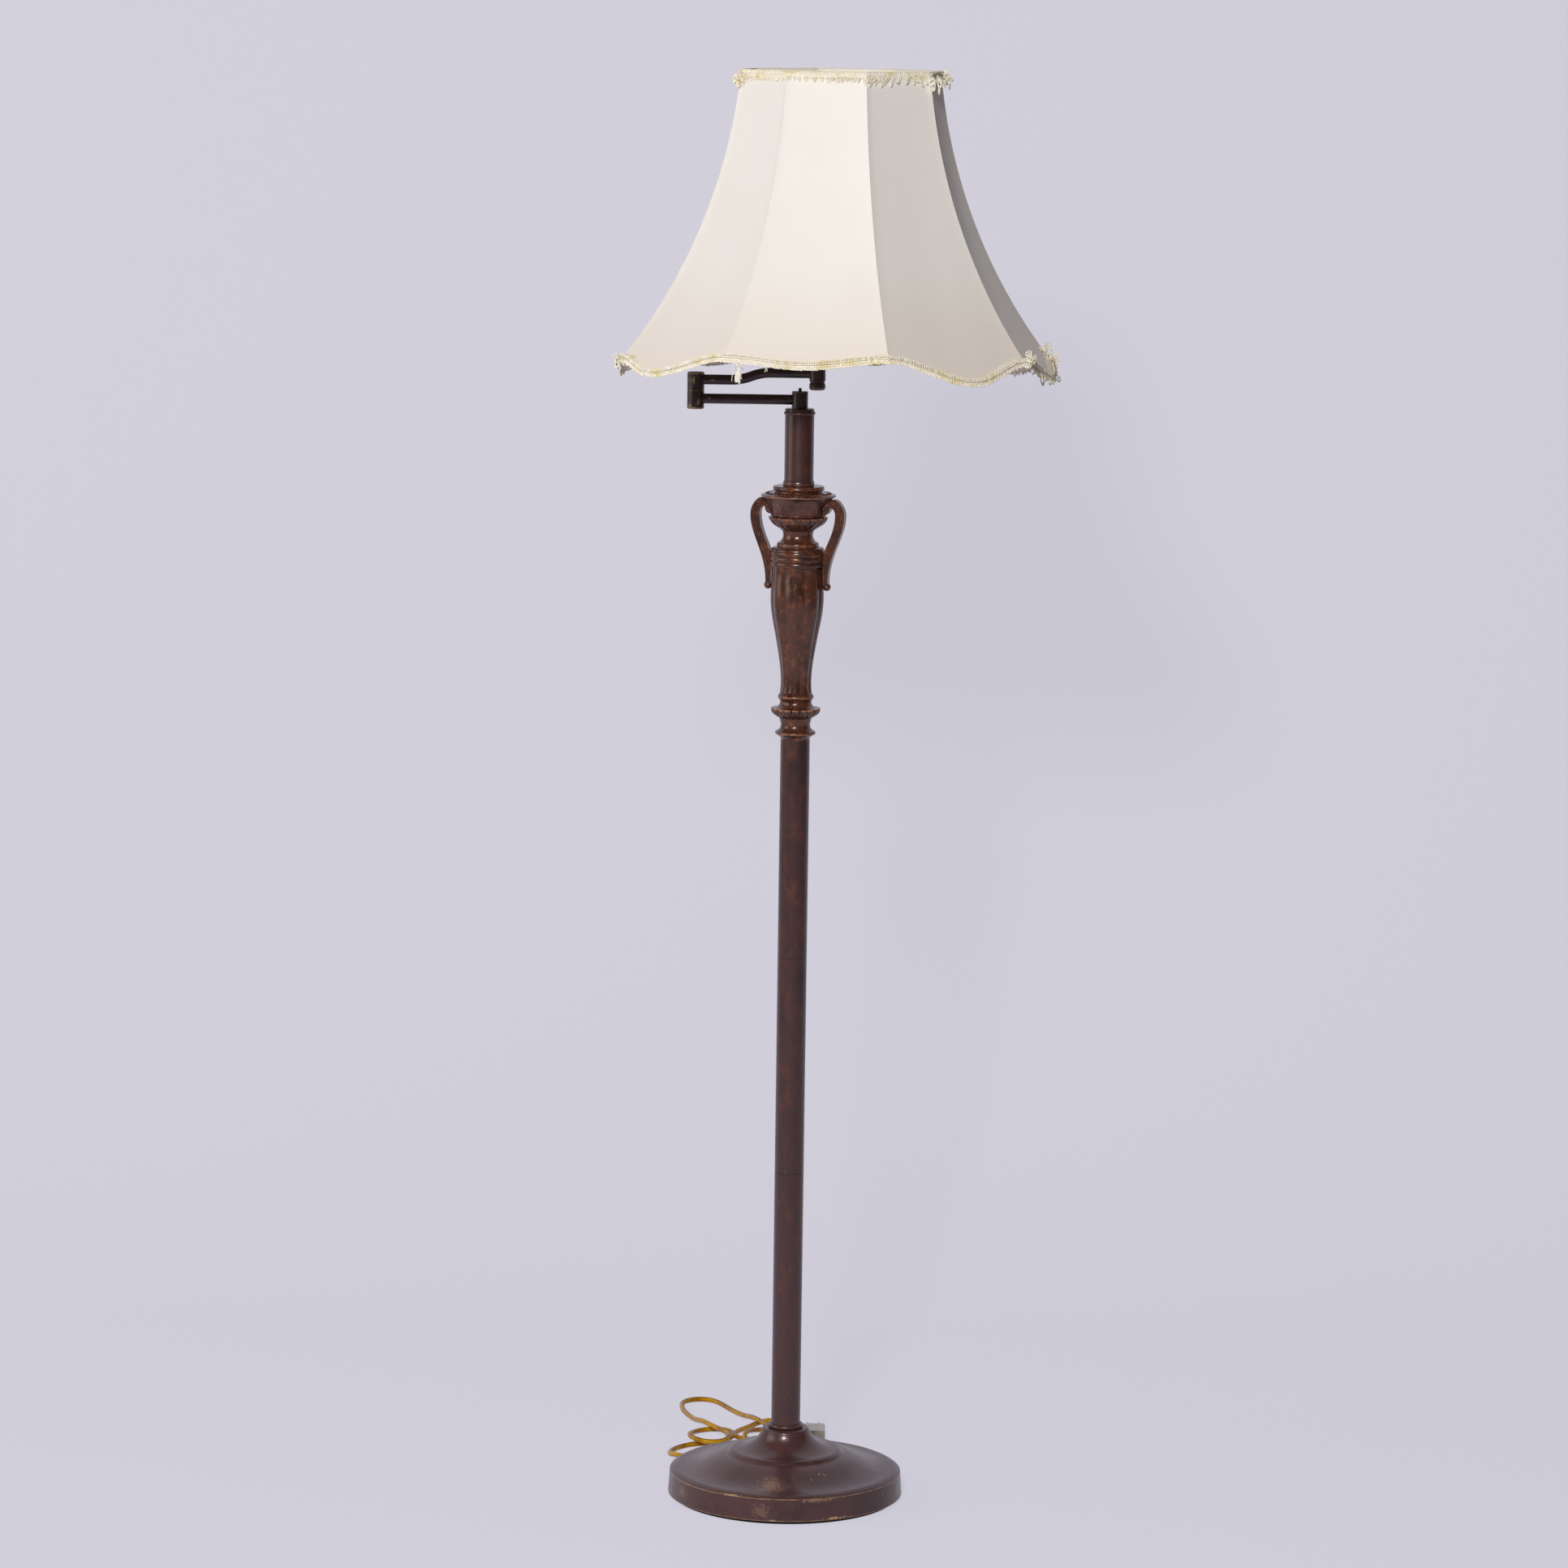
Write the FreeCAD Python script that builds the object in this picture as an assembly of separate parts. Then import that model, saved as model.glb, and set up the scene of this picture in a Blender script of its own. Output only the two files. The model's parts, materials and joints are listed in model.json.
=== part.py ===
import FreeCAD, Part
import math
import os

# A swing-arm floor lamp: a round weighted base, a three-piece pole, a cast urn with scroll handles,
# a two-link swing arm, a socket with a harp, an eight-panel bell shade and its flat twin cord.
# Millimetres. +Z is up, the pole stands on the Z axis, the floor is Z = 0, the front faces -Y.

V = FreeCAD.Vector

# ---------------------------------------------------------------- fits
FIT = 0.05                 # radial clearance of screwed and pressed pieces
RUNNING = 0.06             # radial clearance of a pin that turns in its hub
BODY_GAP = 0.35            # between faces that turn past each other

# ---------------------------------------------------------------- base
PAD_RADIUS = 120.0
PAD_THICKNESS = 3.0
WEIGHT_RADIUS = 115.0
WEIGHT_THICKNESS = 23.0
WEIGHT_CHAMFER = 4.0
BOSS_FOOT_RADIUS = 40.0
BOSS_TOP_RADIUS = 15.0
NUT_RECESS_RADIUS = 18.0
NUT_RECESS_DEPTH = 29.0
COVER_LIFT = 4.0           # height of the cover's lower edge above the floor
COVER_HEIGHT = 70.5
COVER_WALL = 1.0
COVER_EDGE_RADIUS = 125.5
COVER_CREASE_RADIUS = 123.8
COVER_CREASE_HEIGHT = 23.8
COVER_FLANGE_RADIUS = 113.6
COVER_FLANGE_HEIGHT = 27.2
COVER_LIP_RADIUS = 65.5
COVER_LIP_HEIGHT = 42.4
COVER_STEP_RADIUS = 55.0
COVER_STEP_HEIGHT = 47.5
COVER_SHOULDER_RADIUS = 25.8
FOOT_RING_HEIGHT = 4.5
FOOT_RING_RADIUS = 18.7

# ---------------------------------------------------------------- rods, nuts and washers
ROD_RADIUS = 4.8
ROD_BORE = 3.0
NUT_FLATS = 14.3
NUT_THICKNESS = 5.4
WASHER_RADIUS = 14.0
WASHER_THICKNESS = 1.6
NIPPLE_GRIP = 18.0         # how far a rod screws into a plug

# ---------------------------------------------------------------- pole
POLE_RADIUS = 15.5
POLE_WALL = 1.2
PLUG_THICKNESS = 12.0
LOWER_POLE_LENGTH = 274.8
MIDDLE_POLE_LENGTH = 232.8
UPPER_POLE_LENGTH = 231.9

# ---------------------------------------------------------------- urn
COLLAR_HEIGHT = 44.4
COLLAR_RING_RADIUS = 21.4
COLLAR_COVE_RADIUS = 15.6
GADROON_RADIUS = 26.2
GADROON_COUNT = 18
GADROON_DEPTH = 2.2
VASE_HEIGHT = 159.9
VASE_FOOT_RADIUS = 19.0
VASE_WAIST_RADIUS = 16.3
VASE_BELLY_RADIUS = 28.0
VASE_FLUTES = 8
VASE_FLUTE_DEPTH = 2.0
VASE_FLUTE_TURN = 17.0     # degrees from the front to the first groove
REED_COUNT = 3
REED_HEIGHT = 5.6
REED_RADIUS = 29.2
REED_DEPTH = 1.1
VASE_SHOULDER_RADIUS = 24.7
CUP_HEIGHT = 57.5
CUP_FOOT_RADIUS = 22.0
CUP_NECK_RADIUS = 15.8
BOWL_RADIUS = 31.4
BOWL_GADROONS = 16
BOWL_GADROON_DEPTH = 2.4
CUP_COVE_RADIUS = 28.2
CUP_FLANGE_RADIUS = 39.4
CUP_FLANGE_THICKNESS = 3.2
URN_CAVITY_RADIUS = 11.0
CHECK_RING_RADIUS = 26.8
CHECK_RING_HEIGHT = 6.5

# ---------------------------------------------------------------- scroll handles
HANDLE_TURN = 15.0         # degrees that the handles' plane is turned from the X axis
HANDLE_WIDTH = 9.5
HANDLE_REACH = 50.8
HANDLE_VOLUTE_RADIUS = 6.4
HANDLE_VOLUTE_CENTRE = 28.5
HANDLE_BALL_RADIUS = 4.3
HANDLE_EDGE = 1.2

# ---------------------------------------------------------------- neck
NECK_RADIUS = 15.3
NECK_WALL = 1.0
NECK_LENGTH = 66.4
NECK_FOOT_HEIGHT = 6.2
NECK_FOOT_RADIUS = 16.6
NECK_CAP_HEIGHT = 8.4
NECK_CAP_RADIUS = 16.6
NECK_SPIGOT = 19.0
CAP_THREAD = 8.0           # the part of the spigot that screws onto the urn's rod

# ---------------------------------------------------------------- swing arm
HUB_RADIUS = 8.5
HUB_HEIGHT = 17.6
HUB_CROWN = 2.2            # solid metal above the stem
HUB_PIN_RADIUS = 1.7
HUB_PIN_HEIGHT = 3.5
STEM_RADIUS = 5.0
STEM_BORE = 3.2
ARM_RADIUS = 5.25
ARM_WALL = 1.1
ARM_SOCKET_DEPTH = 2.9
LOWER_ARM_LENGTH = 109.0
UPPER_ARM_LENGTH = 127.0
ELBOW_RADIUS = 8.9
ELBOW_DROP = 1.9           # the elbow's foot below the pole hub's foot
LOWER_ELBOW_HEIGHT = 19.0
UPPER_ELBOW_HEIGHT = 18.6
ELBOW_WASHER_THICKNESS = 0.4
ELBOW_CHAMFER = 0.8
PIVOT_RADIUS = 4.4
PIVOT_BORE = 2.8
PIVOT_DEPTH = 14.5         # how far the pivot tube reaches into each elbow hub
UPPER_TUBE_HEIGHT = 10.9   # the upper arm's tube above the foot of its elbow hub
BEND_RISE = 7.85
BEND_START = 37.0          # from the elbow's axis to the double bend
BEND_LENGTH = 42.0
BLOCK_RADIUS = 8.5
BLOCK_HEIGHT = 18.0
BLOCK_CAP_HEIGHT = 8.3
BLOCK_GROOVE = 0.9

# ---------------------------------------------------------------- harp, socket and bulb
SADDLE_THICKNESS = 1.6
SADDLE_WIDTH = 13.0
SADDLE_TAB = 7.4
HARP_FOOT = 26.0           # half the distance between the harp's two ends
HARP_WIDTH = 47.0          # half the harp's width
HARP_HEIGHT = 262.4
HARP_WIRE = 1.75
HARP_LEAN = 20.5           # the harp is bent this far sideways, towards +X
HARP_SLEEVE_RADIUS = 3.2
HARP_SLEEVE_LENGTH = 12.0
STUD_PLATE_RADIUS = 6.5
STUD_PLATE_THICKNESS = 1.6
STUD_RADIUS = 3.1
STUD_HEIGHT = 10.0
FINIAL_HEIGHT = 17.0
FINIAL_RADIUS = 6.5
SOCKET_RADIUS = 16.95
SOCKET_WALL = 0.6
SOCKET_CAP_HEIGHT = 15.0
SOCKET_CAP_WALL = 0.8
SOCKET_CAP_SEAT = 9.0      # where the cap's wall turns upright and the switch body sits
SOCKET_HEIGHT = 49.0       # from the harp saddle to the socket's mouth
SOCKET_CORE_HEIGHT = 14.8
SCREW_SHELL_RADIUS = 14.0
SCREW_SHELL_WALL = 0.4
LINER_WALL = 0.9
BULB_BASE_RADIUS = 13.2
BULB_BASE_HEIGHT = 25.5
BULB_RADIUS = 30.0
BULB_GLASS_HEIGHT = 86.0
BULB_NECK_RADIUS = 12.6
KNOB_HEIGHT = 19.5         # the knob's axis above the harp saddle
KNOB_RADIUS = 6.2
KNOB_LENGTH = 13.0
KNOB_SHAFT_RADIUS = 1.8
KNOB_SHAFT_DEPTH = 6.0
KNOB_HOLE_RADIUS = 2.6     # in the socket's shell and its sleeve
KNOB_STANDOFF = 2.5
KNOB_FLUTES = 10

# ---------------------------------------------------------------- shade
SHADE_SIDES = 8
SHADE_TURN = 13.2          # degrees from the front to the first seam, towards +X
SHADE_HEIGHT = 301.0       # from the mean level of the seams' lower ends to the top edge
SHADE_TOP_RADIUS = 106.2
SHADE_WAIST_RADIUS = 143.0
SHADE_HEM_RADIUS = 232.5
SHADE_DROP = 31.0          # from the spider to the top edge
FABRIC = 1.0
LINING = 0.6
RIB_WIRE = 1.5
LAP = 0.02                 # between cloths and wires that lie on each other
SCALLOP = 16.0             # how far a panel's hem dips below its seams
FRONT_SCALLOP = 7.0        # the old wire is bent up in front and down to the right of it
RIGHT_SCALLOP = 21.0
LEFT_DIP_PLACE = 0.35      # where a side dips, as a share of half the side from its middle to its first seam
RIGHT_DIP_PLACE = -0.15
HEM_RISE = 16.0            # the bent bottom wire sits this much higher at the front
TRIM_THICKNESS = 2.2
TRIM_WIDTH = 9.5
TRIM_OVERLAP = 2.0         # how far a trim stands past the fabric's edge
SPIDER_WIRE = 1.6
SPIDER_WASHER_RADIUS = 12.0
SPIDER_WASHER_THICKNESS = 1.6
SPIDER_ARMS = 4

# ---------------------------------------------------------------- cord and plug
CORD_RADIUS = 2.8
CORD_LEVEL = 2.9           # centre line of the cord where it lies on the floor
CORD_OVER = 9.5            # centre line where it lies over itself
BUSHING_TURN = 135.0       # degrees from +X to the cord's way out of the base
BUSHING_LEVEL = 11.0
BUSHING_RADIUS = 5.2
BUSHING_LENGTH = 20.0      # outside the cover
BUSHING_FLANGE = 7.0
BUSHING_TIP_RADIUS = 3.8
LEAD_RADIUS = 2.6
LEAD_BEND = 11.0
COIL_CENTRE = (-6.0, 169.0)
COIL_RADIUS = 37.0
COIL_PITCH = 6.2
COIL_START = 180.0         # degrees from +X
COIL_TURNS_IN = 2.0
COIL_TURNS_OUT = 2.0
COIL_LEAD = 17.0           # length of the cord's last straight runs into the coil
TAIL_LENGTH = 27.5
PLUG_LEVEL = 7.0
PLUG_LENGTH = 34.0
PLUG_WIDTH = 26.0
PLUG_ROUND = 5.0
PLUG_NECK_LENGTH = 10.0
BLADE_SPACING = 12.7
BLADE_THICKNESS = 1.5
BLADE_WIDTH = 6.35
BLADE_LENGTH = 16.0

# ---------------------------------------------------------------- heights, from the floor up
COVER_TOP = COVER_LIFT + COVER_HEIGHT
POLE_FOOT = COVER_TOP + FOOT_RING_HEIGHT
MIDDLE_FOOT = POLE_FOOT + LOWER_POLE_LENGTH
UPPER_FOOT = MIDDLE_FOOT + MIDDLE_POLE_LENGTH
COLLAR_FOOT = UPPER_FOOT + UPPER_POLE_LENGTH
VASE_FOOT = COLLAR_FOOT + COLLAR_HEIGHT
CUP_FOOT = VASE_FOOT + VASE_HEIGHT
CUP_TOP = CUP_FOOT + CUP_HEIGHT
CHECK_TOP = CUP_TOP + CHECK_RING_HEIGHT
NECK_FOOT = CHECK_TOP + NECK_FOOT_HEIGHT
NECK_TOP = NECK_FOOT + NECK_LENGTH
CAP_TOP = NECK_TOP + NECK_CAP_HEIGHT
STEM_FOOT = NECK_TOP - NECK_SPIGOT + CAP_THREAD
HUB_FOOT = CAP_TOP + BODY_GAP
HUB_TOP = HUB_FOOT + HUB_HEIGHT
STEM_TOP = HUB_TOP - HUB_CROWN - BODY_GAP
LOWER_TUBE_LEVEL = HUB_FOOT + HUB_HEIGHT / 2
ELBOW_FOOT = HUB_FOOT - ELBOW_DROP
LOWER_ELBOW_TOP = ELBOW_FOOT + LOWER_ELBOW_HEIGHT
UPPER_ELBOW_FOOT = LOWER_ELBOW_TOP + ELBOW_WASHER_THICKNESS + BODY_GAP
UPPER_ELBOW_TOP = UPPER_ELBOW_FOOT + UPPER_ELBOW_HEIGHT
UPPER_TUBE_LEVEL = UPPER_ELBOW_FOOT + UPPER_TUBE_HEIGHT
BLOCK_LEVEL = UPPER_TUBE_LEVEL + BEND_RISE
BLOCK_FOOT = BLOCK_LEVEL - BLOCK_HEIGHT / 2
BLOCK_TOP = BLOCK_FOOT + BLOCK_HEIGHT
SADDLE_TOP = BLOCK_TOP + SADDLE_THICKNESS
TAB_TOP = SADDLE_TOP + SADDLE_TAB
HARP_TOP = TAB_TOP + HARP_HEIGHT
SPIDER_FOOT = HARP_TOP + STUD_PLATE_THICKNESS
SPIDER_TOP = SPIDER_FOOT + SPIDER_WASHER_THICKNESS
SHADE_TOP = SPIDER_FOOT + SHADE_DROP
SHADE_HEM = SHADE_TOP - SHADE_HEIGHT
CORE_FOOT = SADDLE_TOP + SOCKET_CAP_SEAT
CORE_TOP = CORE_FOOT + SOCKET_CORE_HEIGHT
SOCKET_MOUTH = SADDLE_TOP + SOCKET_HEIGHT
KNOB_LEVEL = SADDLE_TOP + KNOB_HEIGHT
SOCKET_CAP_RADIUS = SOCKET_RADIUS - SOCKET_WALL - FIT
LINER_RADIUS = SOCKET_RADIUS - SOCKET_WALL - FIT
SOCKET_CORE_RADIUS = LINER_RADIUS - LINER_WALL - FIT

# ---------------------------------------------------------------- plan positions
ELBOW_X = -LOWER_ARM_LENGTH
SOCKET_X = ELBOW_X + UPPER_ARM_LENGTH
SHADE_X = SOCKET_X + HARP_LEAN


# ================================================================ drawing helpers
def line(*points):
    """Straight strokes of a half outline through (radius, height) points."""
    corners = [V(r, 0, z) for r, z in points]
    return [Part.LineSegment(a, b).toShape() for a, b in zip(corners, corners[1:])]


def arc(start, middle, end):
    """One round stroke of a half outline through three (radius, height) points."""
    return [Part.Arc(*[V(r, 0, z) for r, z in (start, middle, end)]).toShape()]


def curve(*points):
    """One smooth stroke of a half outline through (radius, height) points."""
    spline = Part.BSplineCurve()
    spline.interpolate([V(r, 0, z) for r, z in points])
    return [spline.toShape()]


def closed_face(*strokes):
    """A face from strokes in drawing order; straight lines close the gaps between them."""
    edges = []
    for stroke in strokes:
        edges.extend(stroke)
    whole = []
    for edge, following in zip(edges, edges[1:] + edges[:1]):
        whole.append(edge)
        end, start = edge.lastVertex().Point, following.firstVertex().Point
        if end.distanceToPoint(start) > 1e-6:
            whole.append(Part.LineSegment(end, start).toShape())
    return Part.Face(Part.Wire(whole))


def spun(*strokes, x=0.0, y=0.0):
    """The half outline turned about a vertical axis at (x, y)."""
    solid = closed_face(*strokes).revolve(V(0, 0, 0), V(0, 0, 1), 360)
    solid.translate(V(x, y, 0))
    return solid


def rod(radius, foot, top, bore=0.0, x=0.0, y=0.0):
    """An upright round bar or tube."""
    solid = Part.makeCylinder(radius, top - foot, V(x, y, foot))
    if bore:
        solid = solid.cut(Part.makeCylinder(bore, top - foot, V(x, y, foot)))
    return solid


def polar(radius, degrees, height=0.0, x=0.0, y=0.0):
    """A point at a bearing measured from +X towards +Y."""
    angle = math.radians(degrees)
    return V(x + radius * math.cos(angle), y + radius * math.sin(angle), height)


def lobed_wire(crest, depth, height, count, first):
    """A closed level outline of round lobes that meet in grooves; first is the first groove's bearing."""
    step = 360.0 / count
    edges = []
    for index in range(count):
        start = first + index * step
        edges.append(Part.Arc(polar(crest - depth, start, height),
                              polar(crest, start + step / 2, height),
                              polar(crest - depth, start + step, height)).toShape())
    return Part.Wire(edges)


def lobed_body(sections, depth, count, first):
    """A fluted body lofted through (radius, height) sections; grooves fade where the radius is small."""
    widest = max(radius for radius, height in sections)
    wires = [lobed_wire(radius, depth * radius / widest, height, count, first)
             for radius, height in sections]
    return Part.makeLoft(wires, True, False)


def rounded_route(points, share=0.45):
    """Straight runs joined by tangent arcs; each arc takes a share of the shorter run beside it."""
    edges = []
    start = points[0]
    for before, corner, after in zip(points, points[1:], points[2:]):
        back, ahead = before - corner, after - corner
        reach = share * min(back.Length, ahead.Length)
        back.normalize()
        ahead.normalize()
        first, last = corner + back * reach, corner + ahead * reach
        chord_middle = (first + last) * 0.5
        half_turn = (math.pi - back.getAngle(ahead)) / 2
        inward = chord_middle - corner
        depth = inward.Length
        radius = reach / math.tan(half_turn)
        to_arc = math.hypot(radius, reach) - radius
        middle = corner + inward * (to_arc / depth)
        edges.append(Part.LineSegment(start, first).toShape())
        edges.append(Part.Arc(first, middle, last).toShape())
        start = last
    edges.append(Part.LineSegment(start, points[-1]).toShape())
    return edges


def route_radii(points, share=0.45):
    """The bend radius at each corner of a route."""
    radii = []
    for before, corner, after in zip(points, points[1:], points[2:]):
        back, ahead = before - corner, after - corner
        reach = share * min(back.Length, ahead.Length)
        radii.append(reach / math.tan((math.pi - back.getAngle(ahead)) / 2))
    return radii


def piped(edges, radius):
    """A round bar along connected edges."""
    path = Part.Wire(edges)
    first = edges[0]
    start, heading = first.valueAt(first.FirstParameter), first.tangentAt(first.FirstParameter)
    ring = Part.Wire(Part.makeCircle(radius, start, heading))
    return path.makePipeShell([ring], True, False)


def arc_between(start, heading, end):
    """The arc that leaves start along heading and ends at end."""
    chord = end - start
    middle = (start + end) * 0.5
    apex = start + heading * (chord.dot(chord) / (2 * chord.dot(heading)))
    rise = apex - middle
    if rise.Length < 1e-6:
        return Part.LineSegment(start, end).toShape(), heading
    half_turn = math.atan2(rise.Length, chord.Length / 2)
    top = middle + rise * (chord.Length / 2 * math.tan(half_turn / 2) / rise.Length)
    new_heading = end - apex
    new_heading.normalize()
    return Part.Arc(start, top, end).toShape(), new_heading


def biarc(start, heading, end, end_heading):
    """Two tangent arcs from a point and direction to another."""
    gap = end - start
    both = heading + end_heading
    a = 2 * (heading.dot(end_heading) - 1)
    b = -2 * gap.dot(both)
    c = gap.dot(gap)
    if abs(a) < 1e-9:
        reach = -c / b
    else:
        reach = (-b - math.sqrt(b * b - 4 * a * c)) / (2 * a)
    join = (start + end + (heading - end_heading) * reach) * 0.5
    first, join_heading = arc_between(start, heading, join)
    second, _ = arc_between(join, join_heading, end)
    return [first, second]


# ================================================================ base
def cover_strokes(inset):
    """The base cover's outside from the neck to the rim, moved inwards by inset."""
    top = COVER_TOP
    lift = COVER_LIFT
    step_level, lip_level = lift + COVER_STEP_HEIGHT, lift + COVER_LIP_HEIGHT
    flange_level, crease_level = lift + COVER_FLANGE_HEIGHT, lift + COVER_CREASE_HEIGHT
    shoulder = COVER_SHOULDER_RADIUS
    neck_fall = top - 4.0 - step_level
    neck_run = COVER_STEP_RADIUS - shoulder
    lip_fall = step_level - lip_level
    flange_fall = lip_level - flange_level
    flange_run = COVER_FLANGE_RADIUS - COVER_LIP_RADIUS
    side = inset
    down = inset
    return [
        line((ROD_RADIUS + FIT, top - down), (shoulder - 4.0 - side * 0.4, top - down)),
        arc((shoulder - 4.0 - side * 0.4, top - down), (shoulder - 1.1 - side * 0.7, top - 1.2 - down * 0.7),
            (shoulder - side, top - 4.0 - down * 0.3)),
        curve((shoulder - side, top - 4.0 - down * 0.3),
              (shoulder + 0.10 * neck_run - side * 0.9, top - 4.0 - 0.31 * neck_fall - down * 0.5),
              (shoulder + 0.28 * neck_run - side * 0.7, top - 4.0 - 0.60 * neck_fall - down * 0.7),
              (shoulder + 0.58 * neck_run - side * 0.4, top - 4.0 - 0.87 * neck_fall - down * 0.9),
              (COVER_STEP_RADIUS - side * 0.3, step_level - down)),
        arc((COVER_STEP_RADIUS - side * 0.3, step_level - down),
            (COVER_STEP_RADIUS + 4.0 - side * 0.6, step_level - 0.24 * lip_fall - down * 0.8),
            (COVER_STEP_RADIUS + 6.2 - side * 0.8, step_level - 0.68 * lip_fall - down * 0.6)),
        arc((COVER_STEP_RADIUS + 6.2 - side * 0.8, step_level - 0.68 * lip_fall - down * 0.6),
            (COVER_STEP_RADIUS + 7.8 - side * 0.6, step_level - 0.92 * lip_fall - down * 0.8),
            (COVER_LIP_RADIUS - side * 0.3, lip_level - down)),
        curve((COVER_LIP_RADIUS - side * 0.3, lip_level - down),
              (COVER_LIP_RADIUS + 0.15 * flange_run - side * 0.4, lip_level - 0.16 * flange_fall - down * 0.9),
              (COVER_LIP_RADIUS + 0.38 * flange_run - side * 0.4, lip_level - 0.51 * flange_fall - down * 0.9),
              (COVER_LIP_RADIUS + 0.60 * flange_run - side * 0.3, lip_level - 0.80 * flange_fall - down * 0.9),
              (COVER_LIP_RADIUS + 0.80 * flange_run - side * 0.1, lip_level - 0.95 * flange_fall - down),
              (COVER_FLANGE_RADIUS, flange_level - down)),
        arc((COVER_FLANGE_RADIUS, flange_level - down),
            (COVER_CREASE_RADIUS - 3.9 - side * 0.4, flange_level - 1.0 - down * 0.9),
            (COVER_CREASE_RADIUS - side, crease_level - down * 0.2)),
        line((COVER_CREASE_RADIUS - side, crease_level - down * 0.2), (COVER_EDGE_RADIUS - side, lift)),
    ]


def bushing_direction():
    """The way that the cord leaves the base."""
    return polar(1.0, BUSHING_TURN)


def make_floor_pad():
    return rod(PAD_RADIUS, 0, PAD_THICKNESS)


def make_base_weight():
    foot, top = PAD_THICKNESS, PAD_THICKNESS + WEIGHT_THICKNESS
    boss_top = COVER_TOP - COVER_WALL
    weight = spun(
        line((NUT_RECESS_RADIUS, foot), (WEIGHT_RADIUS, foot), (WEIGHT_RADIUS, top - WEIGHT_CHAMFER),
             (WEIGHT_RADIUS - WEIGHT_CHAMFER, top), (BOSS_FOOT_RADIUS, top)),
        arc((BOSS_FOOT_RADIUS, top), (BOSS_TOP_RADIUS + 6.0, top + 13.0), (BOSS_TOP_RADIUS, boss_top)),
        line((BOSS_TOP_RADIUS, boss_top), (ROD_RADIUS + FIT, boss_top),
             (ROD_RADIUS + FIT, foot + NUT_RECESS_DEPTH), (NUT_RECESS_RADIUS, foot + NUT_RECESS_DEPTH),
             (NUT_RECESS_RADIUS, foot)))
    channel_half = BUSHING_RADIUS + 1.0
    channel = Part.makeBox(WEIGHT_RADIUS + 10.0, 2 * channel_half, BUSHING_LEVEL + channel_half - foot,
                           V(0, -channel_half, foot))
    channel.rotate(V(0, 0, 0), V(0, 0, 1), BUSHING_TURN)
    return weight.cut(channel)


def make_base_cover():
    bore, edge, lift = ROD_RADIUS + FIT, COVER_EDGE_RADIUS, COVER_LIFT
    outside = spun(*cover_strokes(0.0), line((edge, lift), (bore, lift)))
    hollow = spun(*cover_strokes(COVER_WALL),
                  line((edge - COVER_WALL, lift), (edge - COVER_WALL, lift - 1.0), (0.0, lift - 1.0),
                       (0.0, COVER_TOP - COVER_WALL)))
    cover = outside.cut(hollow)
    hole = Part.makeCylinder(BUSHING_RADIUS + FIT, 3 * BUSHING_LENGTH,
                             polar(COVER_EDGE_RADIUS - BUSHING_LENGTH, BUSHING_TURN, BUSHING_LEVEL),
                             bushing_direction())
    return cover.cut(hole)


def make_cord_bushing():
    """The tapered sleeve that guards the cord where it leaves the rim."""
    wall = COVER_EDGE_RADIUS
    barrel_depth = 4.0
    profile = closed_face(
        line((LEAD_RADIUS + FIT, -COVER_WALL - barrel_depth), (BUSHING_RADIUS, -COVER_WALL - barrel_depth),
             (BUSHING_RADIUS, 0.4), (BUSHING_FLANGE, 0.4), (BUSHING_FLANGE, 2.4), (BUSHING_RADIUS, 3.4)),
        arc((BUSHING_RADIUS, 3.4), (0.5 * (BUSHING_RADIUS + BUSHING_TIP_RADIUS) - 0.3, 0.5 * BUSHING_LENGTH),
            (BUSHING_TIP_RADIUS, BUSHING_LENGTH)),
        line((BUSHING_TIP_RADIUS, BUSHING_LENGTH), (0.0, BUSHING_LENGTH), (0.0, BUSHING_LENGTH - 2.0),
             (LEAD_RADIUS + FIT, BUSHING_LENGTH - 2.0)))
    bushing = profile.revolve(V(0, 0, 0), V(0, 0, 1), 360)
    bushing.rotate(V(0, 0, 0), V(0, 1, 0), 90)
    bushing.translate(V(wall, 0, BUSHING_LEVEL))
    bushing.rotate(V(0, 0, 0), V(0, 0, 1), BUSHING_TURN)
    return bushing


def make_foot_ring():
    """The bead that the pole stands on."""
    middle = COVER_TOP + FOOT_RING_HEIGHT / 2
    return spun(
        line((ROD_RADIUS + FIT, COVER_TOP), (FOOT_RING_RADIUS - 1.2, COVER_TOP)),
        arc((FOOT_RING_RADIUS - 1.2, COVER_TOP), (FOOT_RING_RADIUS, middle),
            (FOOT_RING_RADIUS - 1.6, POLE_FOOT)),
        line((FOOT_RING_RADIUS - 1.6, POLE_FOOT), (ROD_RADIUS + FIT, POLE_FOOT)))


def make_base_nipple():
    washer_foot = PAD_THICKNESS + NUT_RECESS_DEPTH - WASHER_THICKNESS
    return rod(ROD_RADIUS, washer_foot - NUT_THICKNESS - 1.5, POLE_FOOT + NIPPLE_GRIP, ROD_BORE)


def make_base_washer():
    top = PAD_THICKNESS + NUT_RECESS_DEPTH
    return rod(WASHER_RADIUS, top - WASHER_THICKNESS, top, ROD_RADIUS + FIT)


def make_base_nut():
    top = PAD_THICKNESS + NUT_RECESS_DEPTH - WASHER_THICKNESS
    corner = NUT_FLATS / 2 / math.cos(math.radians(30))
    corners = [polar(corner, 60 * index, top - NUT_THICKNESS) for index in range(7)]
    hexagon = Part.Face(Part.makePolygon(corners)).extrude(V(0, 0, NUT_THICKNESS))
    return hexagon.cut(rod(ROD_RADIUS + FIT, top - NUT_THICKNESS, top))


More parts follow.
